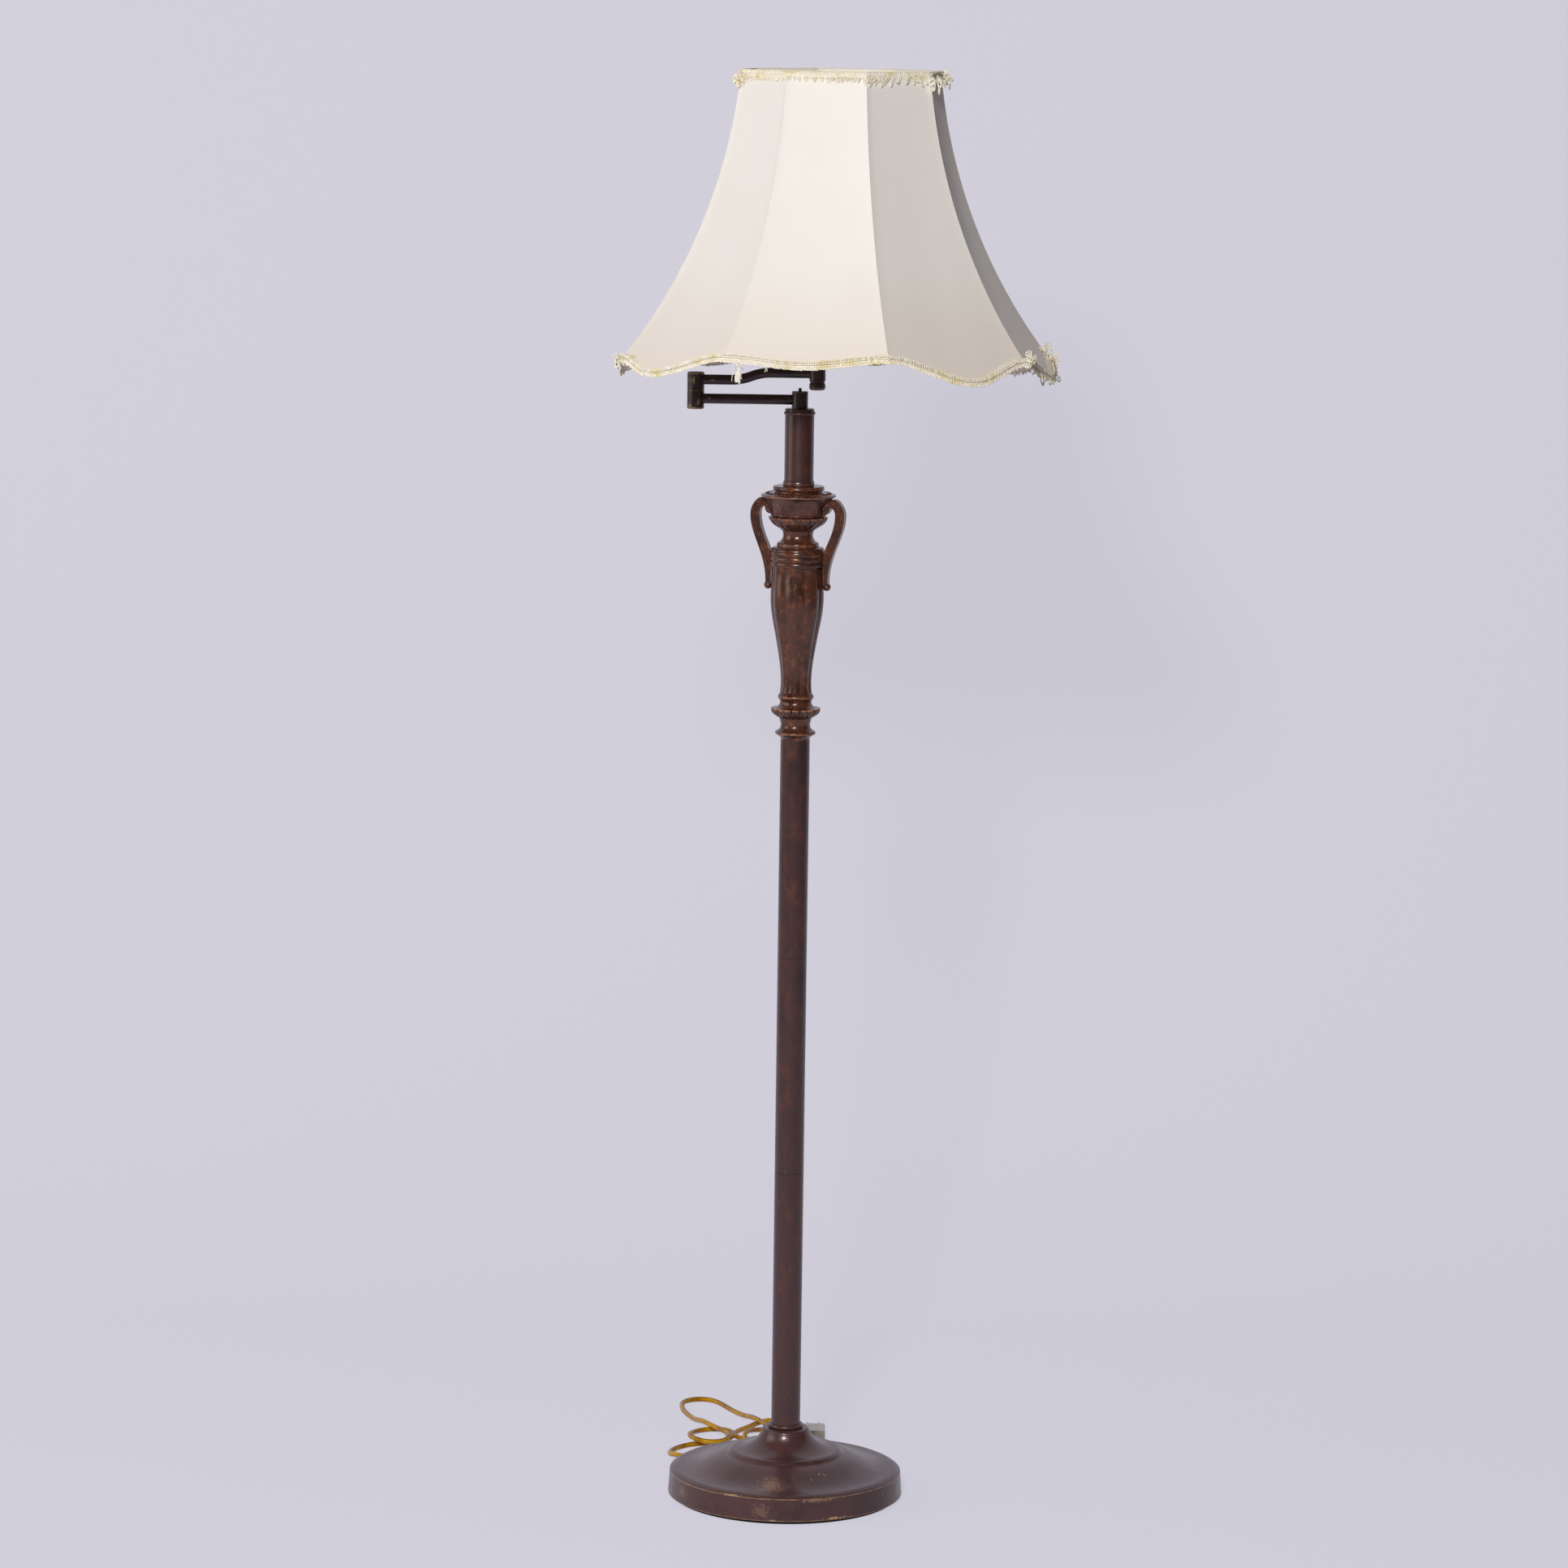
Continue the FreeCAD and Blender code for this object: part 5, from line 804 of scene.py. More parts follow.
@dataclass
class Paintbox:
    """Every finish of the lamp, built once and handed to the CAD pieces."""

    made: dict[Slot, bpy.types.Material] = field(default_factory=dict)

    def mix_all(self) -> None:
        """Build a material for every slot."""
        base_edges = (WornEdge(0.1238, 0.0278, 0.0012, 0.40), WornEdge(0.1255, 0.0043, 0.0012, 0.32))
        base_patches = (WornPatch((-0.015, -0.094, 0.0350), (0.026, 0.026, 0.020), 0.34),
                        WornPatch((-0.056, -0.110, 0.0280), (0.034, 0.014, 0.0016), 1.0),
                        WornPatch((0.036, -0.118, 0.0262), (0.044, 0.012, 0.0040), 0.45),
                        WornPatch((-0.026, -0.123, 0.0150), (0.018, 0.010, 0.014), 0.20),
                        WornPatch((0.055, -0.113, 0.0058), (0.024, 0.016, 0.0028), 0.9),
                        WornPatch((-0.012, -0.125, 0.0048), (0.010, 0.010, 0.0018), 0.8),
                        WornPatch((-0.110, -0.060, 0.0180), (0.014, 0.020, 0.012), 0.22))
        pole_edges = (WornEdge(0.0166, 1.1636, 0.0012, 0.3), WornEdge(0.0166, 1.0887, 0.0012, 0.25))
        urn_edges = (WornEdge(0.0212, 0.8262, 0.0014, 0.5), WornEdge(0.0258, 0.8523, 0.0024, 0.75),
                     WornEdge(0.0188, 0.8645, 0.0012, 0.4), WornEdge(0.0220, 1.0250, 0.0010, 0.4),
                     WornEdge(0.0300, 1.0530, 0.0018, 0.4), WornEdge(0.0392, 1.0765, 0.0014, 0.5))
        elbow, block = -0.109, 0.018
        arm_edges = (WornEdge(0.0089, 1.2040, 0.0020, 0.6, elbow), WornEdge(0.0089, 1.1668, 0.0022, 0.7, elbow),
                     WornEdge(0.0086, 1.1890, 0.0014, 0.3, block), WornEdge(0.0085, 1.1855, 0.0012, 0.3))
        arm_patches = (WornPatch((-0.111, -0.0089, 1.1965), (0.0026, 0.006, 0.0075), 1.0),
                       WornPatch((-0.106, -0.0089, 1.1740), (0.0026, 0.006, 0.0065), 0.9),
                       WornPatch((-0.115, -0.0070, 1.1700), (0.0030, 0.006, 0.0040), 0.8),
                       WornPatch((-0.0915, -0.0052, 1.1965), (0.0048, 0.003, 0.0013), 1.0),
                       WornPatch((-0.0945, -0.0052, 1.1775), (0.0034, 0.003, 0.0013), 1.0))
        finishes = {
            Slot.BASE_PAINT: AgedPaint("reddish brown base paint", linear(84, 55, 54), linear(68, 43, 44), linear(110, 66, 50),
                                       linear(196, 158, 124), 14.0, 0.40, 0.33, 0.7, edges=base_edges, patches=base_patches,
                                       grain=110.0),
            # The pole paint's lower part takes a lighter, purplish colour: a painted reflection of the pale floor.
            Slot.POLE_PAINT: AgedPaint("reddish brown pole paint", linear(68, 40, 36), linear(48, 27, 27), linear(112, 60, 36),
                                       linear(158, 112, 88), 34.0, 0.55, 0.33, 0.5, tall=0.45, edges=pole_edges,
                                       floor_reflection_tint=linear(76, 50, 52), seams=(0.3538, 0.5866)),
            Slot.URN_BRONZE: AgedPaint("mottled bronze", linear(82, 46, 32), linear(56, 31, 25), linear(152, 88, 46),
                                       linear(176, 118, 92), 62.0, 0.62, 0.26, 1.0, tall=0.8, edges=urn_edges, grain=200.0),
            Slot.ARM_BRONZE: AgedPaint("dark bronze arm paint", linear(56, 31, 29), linear(38, 22, 22), linear(86, 52, 36),
                                       linear(176, 152, 100), 60.0, 0.4, 0.40, 0.4, edges=arm_edges, patches=arm_patches,
                                       grain=420.0),
            Slot.ZINC: PlainMetal("zinc plate", linear(168, 168, 164), linear(120, 120, 118), 0.9, 0.4),
            Slot.BRASS: PlainMetal("aged brass", linear(186, 150, 82), linear(112, 84, 44), 0.9, 0.34),
            Slot.BULB_CAP: PlainMetal("bulb cap", linear(190, 190, 192), linear(150, 150, 152), 0.9, 0.3),
            Slot.FRAME_WIRE: PlainMetal("painted frame wire", linear(226, 220, 206), linear(196, 184, 160), 0.1, 0.5),
            Slot.CAST_IRON: Moulding("rough cast iron", linear(60, 58, 56), linear(38, 36, 34), 0.75, 350.0, 0.0008),
            Slot.FELT: Moulding("brown felt", linear(52, 44, 38), linear(34, 29, 25), 0.95, 1400.0, 0.0009, sheen=0.4),
            Slot.CARD: Moulding("fibre card", linear(200, 184, 152), linear(172, 152, 120), 0.8, 700.0, 0.0002),
            Slot.PHENOLIC: Moulding("moulded phenolic", linear(34, 28, 25), linear(22, 18, 17), 0.3, 240.0, 0.0001, coat=0.3),
            Slot.PLUG: Moulding("clear whitish moulding", linear(228, 225, 216), linear(214, 206, 186), 0.26, 60.0, 0.00001,
                                coat=0.4, clear=0.20),
            Slot.CORD: CordPlastic(),
            Slot.BULB_GLASS: FrostedGlass(),
            # The shade cloth is drawn darker and pinker towards its hem: painted shade.
            Slot.SHADE_CLOTH: Cloth("ivory shade cloth", linear(243, 240, 234), linear(241, 236, 228), linear(228, 212, 190),
                                    1500.0, 0.00012, 1.195, 1.225, hem_painted_shade=linear(238, 222, 212)),
            Slot.LINING: Cloth("white lining cloth", linear(232, 226, 220), linear(224, 216, 208), linear(212, 200, 180),
                               1800.0, 0.0001, 1.19, 1.22),
            Slot.TRIM: Cloth("pale gold gimp", linear(248, 242, 230), linear(244, 234, 210), linear(222, 206, 130),
                             900.0, 0.0002, 1.60, 1.80, stain=0.8),
        }
        for slot, finish in finishes.items():
            self.made[slot] = finish.build()

    def dress_nodes(self) -> None:
        """Give every CAD piece the finish that the record names for it."""
        for entry in frame["record"]["subparts"]:
            piece = frame["nodes"][entry["node"]]
            material = self.made[Slot(entry["material_slot"])]
            if not piece.material_slots:
                piece.data.materials.append(material)
            for slot in piece.material_slots:
                slot.material = material


# ---------------------------------------------------------------- studio
@dataclass
class Studio:
    """The camera, lights, floor and backdrop, which aren't part of the lamp."""

    distance: float = 5.8
    eye_height: float = 1.607
    pitch: float = math.radians(8.2)
    roll: float = math.radians(0.8)
    focal_pixels: float = 6840.0
    frame_pixels: float = 1932.0
    aside_pixels: float = 13.0
    wall: float = 1.55
    sweep: float = 0.8

    def place_camera(self) -> None:
        """Put the camera where the photograph was taken from."""
        lens = bpy.data.cameras.new("photograph view")
        lens.sensor_width = 36.0
        lens.lens = self.focal_pixels / self.frame_pixels * 36.0
        lens.shift_x = -self.aside_pixels / self.frame_pixels
        lens.clip_end = 50.0
        camera = bpy.data.objects.new("photograph view", lens)
        bpy.context.collection.objects.link(camera)
        ahead = Vector((0.0, math.cos(self.pitch), -math.sin(self.pitch)))
        level = Vector((1.0, 0.0, 0.0))
        upright = level.cross(ahead)
        right = level * math.cos(self.roll) + upright * math.sin(self.roll)
        up = upright * math.cos(self.roll) - level * math.sin(self.roll)
        turn = Matrix((right, up, -ahead)).transposed()
        camera.matrix_world = Matrix.Translation((0.0, -self.distance, self.eye_height)) @ turn.to_4x4()
        bpy.context.scene.camera = camera

    def lay_backdrop(self) -> None:
        """Sweep a pale floor up into a pale wall."""
        deselect()
        bpy.ops.mesh.primitive_plane_add(size=1.0, location=(0.0, 0.0, 0.0))
        backdrop = named("backdrop")
        backdrop.scale = (9.0, 8.0 + self.wall, 1.0)
        backdrop.location = (0.0, (self.wall - 8.0) / 2, 0.0)
        settle(backdrop)
        edit_all(backdrop)
        bpy.ops.mesh.select_all(action="DESELECT")
        bpy.ops.object.mode_set(mode="OBJECT")
        for edge in backdrop.data.edges:
            ends = [backdrop.data.vertices[index].co.y for index in edge.vertices]
            edge.select = min(ends) > self.wall - 0.001
        for vertex in backdrop.data.vertices:
            vertex.select = vertex.co.y > self.wall - 0.001
        bpy.ops.object.mode_set(mode="EDIT")
        bpy.ops.mesh.extrude_region_move(TRANSFORM_OT_translate={"value": (0.0, 0.0, 5.0)})
        bpy.ops.object.mode_set(mode="OBJECT")
        for edge in backdrop.data.edges:
            ends = [backdrop.data.vertices[index].co for index in edge.vertices]
            edge.select = all(end.y > self.wall - 0.001 and end.z < 0.001 for end in ends)
        for vertex in backdrop.data.vertices:
            vertex.select = vertex.co.y > self.wall - 0.001 and vertex.co.z < 0.001
        bpy.ops.object.mode_set(mode="EDIT")
        bpy.ops.mesh.select_mode(type="EDGE")
        bpy.ops.mesh.bevel(offset=self.sweep, segments=24, affect="EDGES")
        bpy.ops.object.mode_set(mode="OBJECT")
        smooth(backdrop, 60.0)
        material, wiring, shader, place = new_material("pale backdrop paper", Roughness=0.9, Specular_IOR_Level=0.1)
        clouds = wiring.noise(place, 0.9, 2.0, 0.4)
        wiring.feed(shader.inputs["Base Color"], wiring.mix(clouds, linear(196, 192, 198), linear(203, 199, 205)))
        light = wiring.add("ShaderNodeEmission")
        split = wiring.add("ShaderNodeSeparateXYZ")
        wiring.feed(split.inputs[0], place)
        # The glow's colour runs from the upper left to the lower right, a painted falloff of light; its two ends are
        # all but the same colour.
        slope = wiring.sum("SUBTRACT", split.outputs[0], wiring.sum("MULTIPLY", split.outputs[2], 0.6))
        wiring.feed(light.inputs["Color"], wiring.mix(wiring.window(slope, -1.9, 1.1), linear(223, 221, 234),
                                                      linear(223, 221, 235)))
        path = wiring.add("ShaderNodeLightPath")
        seen = wiring.sum("MAXIMUM", path.outputs["Is Camera Ray"],
                          wiring.sum("MAXIMUM", path.outputs["Is Glossy Ray"], path.outputs["Is Transmission Ray"]))
        blend = wiring.add("ShaderNodeMixShader")
        wiring.feed(blend.inputs[0], wiring.sum("MULTIPLY", seen, 0.74))
        wiring.feed(blend.inputs[1], shader.outputs[0])
        wiring.feed(blend.inputs[2], light.outputs[0])
        output = material.node_tree.nodes["Material Output"]
        wiring.feed(output.inputs["Surface"], blend.outputs[0])
        backdrop.data.materials.append(material)

    def hang_lamp(self, name: str, place: tuple[float, float, float], aim: tuple[float, float, float], size: float,
                  watts: float, colour: Colour) -> None:
        """Hang one soft square light.

        Args:
            name: The light's name.
            place: Where it hangs.
            aim: The point that it faces.
            size: The length of its sides.
            watts: Its power.
            colour: Its colour.
        """
        light = bpy.data.lights.new(name, "AREA")
        light.size, light.energy, light.color = size, watts, colour
        holder = bpy.data.objects.new(name, light)
        bpy.context.collection.objects.link(holder)
        holder.location = place
        holder.rotation_euler = (Vector(aim) - Vector(place)).to_track_quat("-Z", "Y").to_euler()

    def light_room(self) -> None:
        """Light the lamp from the front left, with a soft pale room around it."""
        self.hang_lamp("key", (-0.48, -3.62, 2.45), (0.0, 0.0, 0.95), 0.45, 103.0, (1.0, 0.99, 0.97))
        self.hang_lamp("left fill", (-2.85, -0.7, 1.7), (0.0, 0.0, 1.1), 2.0, 28.0, (1.0, 0.99, 0.98))
        world = bpy.data.worlds.new("pale room")
        world.use_nodes = True
        sky = world.node_tree.nodes["Background"]
        sky.inputs["Color"].default_value = (0.94, 0.83, 0.80, 1.0)
        sky.inputs["Strength"].default_value = 0.09
        bpy.context.scene.world = world
        bpy.context.scene.view_settings.view_transform = "Standard"


# ---------------------------------------------------------------- cord and plug
@dataclass
class Cord:
    """The lamp's lead: loose loops behind the base, a put-away coil, and the plug."""

    diameter: float = 0.0056
    length: float = 1.93
    exit: tuple[float, float, float] = (-0.10288, 0.10288, 0.011)
    floor: float = 0.0029
    over: float = 0.0095
    coil_centre: tuple[float, float] = (-0.006, 0.169)
    coil_radius: float = 0.037
    coil_pitch: float = 0.0062
    coil_start: float = math.pi
    turns_in: float = 2.0
    turns_out: float = 2.0
    steps: int = 16

    def loose_points(self) -> list[tuple[float, float, float]]:
        """List the route from the bushing to the coil.

        Returns:
            The route's corner points.
        """
        low, over = self.floor, self.over
        return [(-0.119, 0.119, 0.0096), (-0.127, 0.138, 0.0052), (-0.127, 0.158, low), (-0.118, 0.176, low),
                (-0.102, 0.190, low), (-0.076, 0.197, low), (-0.064, 0.209, low), (-0.056, 0.236, low),
                (-0.066, 0.252, low), (-0.080, 0.256, low), (-0.093, 0.251, low), (-0.103, 0.236, 0.0042),
                (-0.108, 0.205, over), (-0.099, 0.184, over), (-0.085, 0.178, 0.0084), (-0.070, 0.182, 0.0082),
                (-0.062, 0.195, over), (-0.065, 0.218, over), (-0.081, 0.242, over), (-0.093, 0.266, over),
                (-0.103, 0.291, 0.0042), (-0.111, 0.317, low), (-0.118, 0.343, low), (-0.119, 0.370, low),
                (-0.109, 0.384, low), (-0.095, 0.388, low), (-0.081, 0.380, low), (-0.070, 0.359, low),
                (-0.059, 0.334, low), (-0.047, 0.310, 0.0042), (-0.037, 0.285, over), (-0.025, 0.261, over),
                (-0.014, 0.235, over), (-0.018, 0.220, 0.0044), (-0.031, 0.211, low), (-0.046, 0.213, low),
                (-0.056, 0.224, low), (-0.057, 0.243, low), (-0.041, 0.267, low), (-0.026, 0.294, low),
                (-0.007, 0.298, low), (0.006, 0.291, low), (0.011, 0.277, low), (0.007, 0.263, low),
                (-0.006, 0.254, low), (-0.031, 0.248, 0.0050), (-0.043, 0.224, over), (-0.046, 0.204, over),
                (-0.043, 0.186, low), (-0.043, 0.1746, low)]

    def coil_points(self) -> list[tuple[float, float, float]]:
        """Wind the coil in and out again in two layers.

        Returns:
            The coil's points, sixteen to a turn.
        """
        inner = self.coil_radius - self.coil_pitch * self.turns_in
        outward = 1.0 / math.cos(math.pi / self.steps) ** 0.5
        points = []
        total = self.turns_in + 0.5 + self.turns_out
        count = int(round(total * self.steps))
        for step in range(count + 1):
            turned = step / self.steps
            if turned <= self.turns_in:
                radius, height = self.coil_radius - self.coil_pitch * turned, self.floor
            elif turned <= self.turns_in + 0.5:
                share = (turned - self.turns_in) / 0.5
                radius = inner + self.coil_pitch / 2 * (share * share - share)
                height = self.floor + self.coil_pitch * (3 * share ** 2 - 2 * share ** 3)
            else:
                radius = inner + self.coil_pitch * (turned - self.turns_in - 0.5)
                height = self.floor + self.coil_pitch
            angle = self.coil_start + 2 * math.pi * turned
            points.append((self.coil_centre[0] + radius * outward * math.cos(angle),
                           self.coil_centre[1] + radius * outward * math.sin(angle), height))
        return points

    def build(self, paints: Paintbox) -> None:
        """Lay the cord as one smooth spline and put its plug on it.

        Args:
            paints: The finishes.
        """
        tail = [(0.0310, 0.1746, 0.0091), (0.0316, 0.1884, 0.0082), (0.0310, 0.2021, 0.0070)]
        route = [self.exit] + self.loose_points() + self.coil_points() + tail
        curve = bpy.data.curves.new("cord_line", "CURVE")
        curve.dimensions = "3D"
        spline = curve.splines.new("NURBS")
        spline.points.add(len(route) - 1)
        for point, place in zip(spline.points, route):
            point.co = (*place, 1.0)
        spline.order_u = 3
        spline.use_endpoint_u = True
        curve.resolution_u = 6
        curve.bevel_depth = self.diameter / 2
        curve.bevel_resolution = 4
        curve.use_fill_caps = True
        line = bpy.data.objects.new("cord_line", curve)
        bpy.context.collection.objects.link(line)
        hand_over(line, Body.STAND, Slot.CORD, paints.made[Slot.CORD], "cord", "cord_coil", "cord_tail")
        plug = self.build_plug(paints)
        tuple(self.exit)

    def build_plug(self, paints: Paintbox) -> bpy.types.Object:
        """Model the clear moulded plug with its ribbed grip.

        Args:
            paints: The finishes.

        Returns:
            The plug's body.
        """
        low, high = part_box("plug_body")
        neck = 0.010
        middle = (low[0] + high[0]) / 2
        deselect()
        bpy.ops.mesh.primitive_cube_add(size=1.0, location=(middle, low[1] + neck + (high[1] - low[1] - neck) / 2, (low[2] + high[2]) / 2))
        plug = named("plug_moulding")
        plug.scale = (high[0] - low[0], high[1] - low[1] - neck, high[2] - low[2])
        settle(plug)
        edit_all(plug)
        bpy.ops.mesh.select_all(action="DESELECT")
        bpy.ops.object.mode_set(mode="OBJECT")
        for face in plug.data.polygons:
            face.select = face.normal.y < -0.9
        bpy.ops.object.mode_set(mode="EDIT")
        bpy.ops.mesh.inset(thickness=0.0035)
        bpy.ops.mesh.extrude_region_move(TRANSFORM_OT_translate={"value": (0.0, -neck * 0.55, 0.0)})
        bpy.ops.transform.resize(value=(0.55, 1.0, 0.92), center_override=(middle, low[1], 0.007))
        bpy.ops.mesh.extrude_region_move(TRANSFORM_OT_translate={"value": (0.0, -neck * 0.45, 0.0)})
        bpy.ops.transform.resize(value=(0.75, 1.0, 0.95), center_override=(middle, low[1], 0.007))
        bpy.ops.object.mode_set(mode="OBJECT")
        finish_with(plug, "BEVEL", width=0.0032, segments=3, limit_method="ANGLE")
        finish_with(plug, "SUBSURF", levels=2, render_levels=2)
        smooth(plug, 60.0)
        hand_over(plug, Body.STAND, Slot.PLUG, paints.made[Slot.PLUG], "plug_body")
        deselect()
        bpy.ops.mesh.primitive_cube_add(size=1.0, location=(middle, high[1] - 0.010, 0.0068))
        heart = named("plug_contacts")
        heart.scale = (0.0150, 0.0170, 0.0052)
        settle(heart)
        finish_with(heart, "BEVEL", width=0.0016, segments=2, limit_method="ANGLE")
        hand_over(heart, Body.STAND, Slot.BRASS, paints.made[Slot.BRASS])
        return plug


# ---------------------------------------------------------------- shade
@dataclass(frozen=True)
class Tuft:
    """A bunch of frayed threads at one place of the trim."""

    along: float
    is_top: bool
    shift: tuple[float, float, float]
    reach: tuple[float, float, float]
    count: int


@dataclass
class Shade:
    """The eight-panel bell shade: stretched cloth, lining, gimp and fringe."""

    centre: float = 0.0385
    top: float = 1.51775
    hem: float = 1.21675
    top_radius: float = 0.1062
    waist_radius: float = 0.1430
    hem_radius: float = 0.2325
    turn: float = -90.0 + 13.2
    scallop: float = 0.016
    rise: float = 0.016
    bent_dips: tuple[tuple[int, float, float], ...] = ((6, 0.325, 0.016), (7, 0.5, 0.007), (0, 0.575, 0.021))
    sides: int = 8
    tufts: tuple[Tuft, ...] = (Tuft(2.0, False, (-0.007, -0.006, -0.002), (0.008, 0.010, 0.014), 110),
                               Tuft(1.02, False, (0.004, -0.004, 0.006), (0.007, 0.004, 0.008), 16),
                               Tuft(6.0, False, (-0.002, -0.002, 0.001), (0.005, 0.005, 0.006), 18),
                               Tuft(6.05, True, (-0.004, -0.002, -0.006), (0.004, 0.004, 0.005), 14),
                               Tuft(1.0, True, (0.002, -0.002, -0.006), (0.010, 0.003, 0.006), 22),
                               Tuft(1.9, True, (0.003, -0.003, -0.004), (0.006, 0.005, 0.007), 22),
                               Tuft(7.0985, False, (0.0, -0.001, -0.005), (0.0009, 0.0009, 0.008), 12),
                               Tuft(7.0985, False, (0.0, -0.001, -0.014), (0.0014, 0.0012, 0.003), 9))
    columns: int = 16
    rows: int = 30
    seed: int = 11

    def __post_init__(self) -> None:
        """Find the arc that the seams follow."""
        points = [(self.top_radius, self.top), (self.waist_radius, (self.top + self.hem) / 2), (self.hem_radius, self.hem)]
        (ax, ay), (bx, by), (cx, cy) = points
        d = 2 * (ax * (by - cy) + bx * (cy - ay) + cx * (ay - by))
        squares = [x * x + y * y for x, y in points]
        self.bow_radius = (squares[0] * (by - cy) + squares[1] * (cy - ay) + squares[2] * (ay - by)) / d
        self.bow_height = (squares[0] * (cx - bx) + squares[1] * (ax - cx) + squares[2] * (bx - ax)) / d
        self.bow = math.hypot(ax - self.bow_radius, ay - self.bow_height)

    def seam_radius(self, height: float, outward: float = 0.0) -> float:
        """Find the shade's radius at a seam.

        Args:
            height: The height above the floor.
            outward: How far outside the cloth's outer face.

        Returns:
            The radius about the shade's own axis.
        """
        bow = self.bow - outward
        return self.bow_radius - math.sqrt(max(0.0, bow * bow - (height - self.bow_height) ** 2))

    def bearing(self, index: float) -> float:
        """Return a seam's bearing in radians from +X."""
        return math.radians(self.turn + index * 360.0 / self.sides)

    def hem_level(self, along: float) -> float:
        """Find the hem's height.

        Args:
            along: The place round the shade, counted in panels.

        Returns:
            The height of the scalloped hem.
        """
        panel, share = int(math.floor(along)) % self.sides, along - math.floor(along)
        left = self.hem + self.rise * max(0.0, -math.sin(self.bearing(panel)))
        right = self.hem + self.rise * max(0.0, -math.sin(self.bearing(panel + 1)))
        place, depth = {number: (where, deep) for number, where, deep in self.bent_dips}.get(panel, (0.5, self.scallop))
        lowest = (left + right) / 2 - depth
        slope = 1.5 * ((right - lowest) / (1 - place) ** 2 + (lowest - left) / place ** 2) * place * (1 - place)
        if share <= place:
            u = share / place
            return left * (1 - 3 * u ** 2 + 2 * u ** 3) + lowest * (3 * u ** 2 - 2 * u ** 3) + slope * place * (u ** 3 - u ** 2)
        u = (share - place) / (1 - place)
        return (lowest * (1 - 3 * u ** 2 + 2 * u ** 3) + right * (3 * u ** 2 - 2 * u ** 3)
                + slope * (1 - place) * (u - 2 * u ** 2 + u ** 3))

    def point(self, along: float, height: float, outward: float = 0.0) -> Vector:
        """Find a point on the shade.

        Args:
            along: The place round the shade, counted in panels.
            height: The height above the floor.
            outward: How far outside the cloth's outer face.

        Returns:
            The point, on the flat between two seams.
        """
        panel, share = int(math.floor(along)), along - math.floor(along)
        radius = self.seam_radius(height, outward)
        first, second = self.bearing(panel), self.bearing(panel + 1)
        start = Vector((radius * math.cos(first), radius * math.sin(first), 0.0))
        end = Vector((radius * math.cos(second), radius * math.sin(second), 0.0))
        flat = start.lerp(end, share)
        return Vector((self.centre + flat.x, flat.y, height))

    def outwards(self, along: float) -> Vector:
        """Return the level direction that a panel faces."""
        middle = self.bearing(math.floor(along) + 0.5)
        return Vector((math.cos(middle), math.sin(middle), 0.0))

    def loop_of_edges(self, name: str, rows: int) -> bpy.types.Object:
        """Draw an eight-sided tube of many small faces, as the start of a cloth.

        Args:
            name: The piece's name.
            rows: How many rows of faces it has.

        Returns:
            The piece, one metre across and one unit high per row.
        """
        deselect()
        bpy.ops.mesh.primitive_circle_add(vertices=self.sides, radius=1.0, location=(0.0, 0.0, 0.0),
                                          rotation=(0.0, 0.0, 0.0))
        piece = named(name)
        settle(piece)
        edit_all(piece)
        bpy.ops.mesh.subdivide(number_cuts=self.columns - 1)
        for _ in range(rows):
            bpy.ops.mesh.extrude_region_move(TRANSFORM_OT_translate={"value": (0.0, 0.0, -1.0)})
        bpy.ops.object.mode_set(mode="OBJECT")
        return piece

    def shape(self, piece: bpy.types.Object, rows: int, place: Callable[[float, float], Vector],
              cloth: Callable[[float, float], tuple[float, float]]) -> None:
        """Move a tube's corners onto the shade and give it cloth coordinates.

        Args:
            piece: The tube from loop_of_edges.
            rows: How many rows of faces it has.
            place: From the place round and the share down to a point.
            cloth: From the place round and the share down to cloth coordinates in metres.
        """
        step = 2 * math.pi / self.sides
        marks: list[tuple[float, float]] = []
        for vertex in piece.data.vertices:
            angle = math.atan2(vertex.co.y, vertex.co.x) % (2 * math.pi)
            panel = math.floor(angle / step + 1e-5)
            inside = angle - (panel + 0.5) * step
            share = (math.tan(inside) / math.tan(step / 2) + 1) / 2
            share = min(1.0, max(0.0, share))
            marks.append(((panel + share) % self.sides, -vertex.co.z / rows))
        for vertex, (along, down) in zip(piece.data.vertices, marks):
            vertex.co = place(along, down)
        layer = piece.data.uv_layers.new(name="cloth")
        for face in piece.data.polygons:
            rounds = [marks[piece.data.loops[index].vertex_index][0] for index in face.loop_indices]
            wraps = max(rounds) - min(rounds) > self.sides / 2
            for index in face.loop_indices:
                along, down = marks[piece.data.loops[index].vertex_index]
                if wraps and along < self.sides / 2:
                    along += self.sides
                layer.data[index].uv = cloth(along, down)
        edit_all(piece)
        bpy.ops.mesh.normals_make_consistent(inside=False)
        bpy.ops.object.mode_set(mode="OBJECT")

    def cloth_place(self, outward: float, top_drop: float, hem_lift: float, sag: float,
                    welt: float) -> Callable[[float, float], Vector]:
        """Describe how a cloth hangs on the frame.

        Args:
            outward: How far outside the CAD cloth's outer face it lies.
            top_drop: How far under the shade's top edge it starts.
            hem_lift: How far above the hem line it ends.
            sag: How far each panel draws in between its seams.
            welt: How far the sewn seams stand out.

        Returns:
            The place of each share round and down.
        """
        rng = random.Random(self.seed)
        phases = [rng.uniform(0, 6.28) for _ in range(24)]

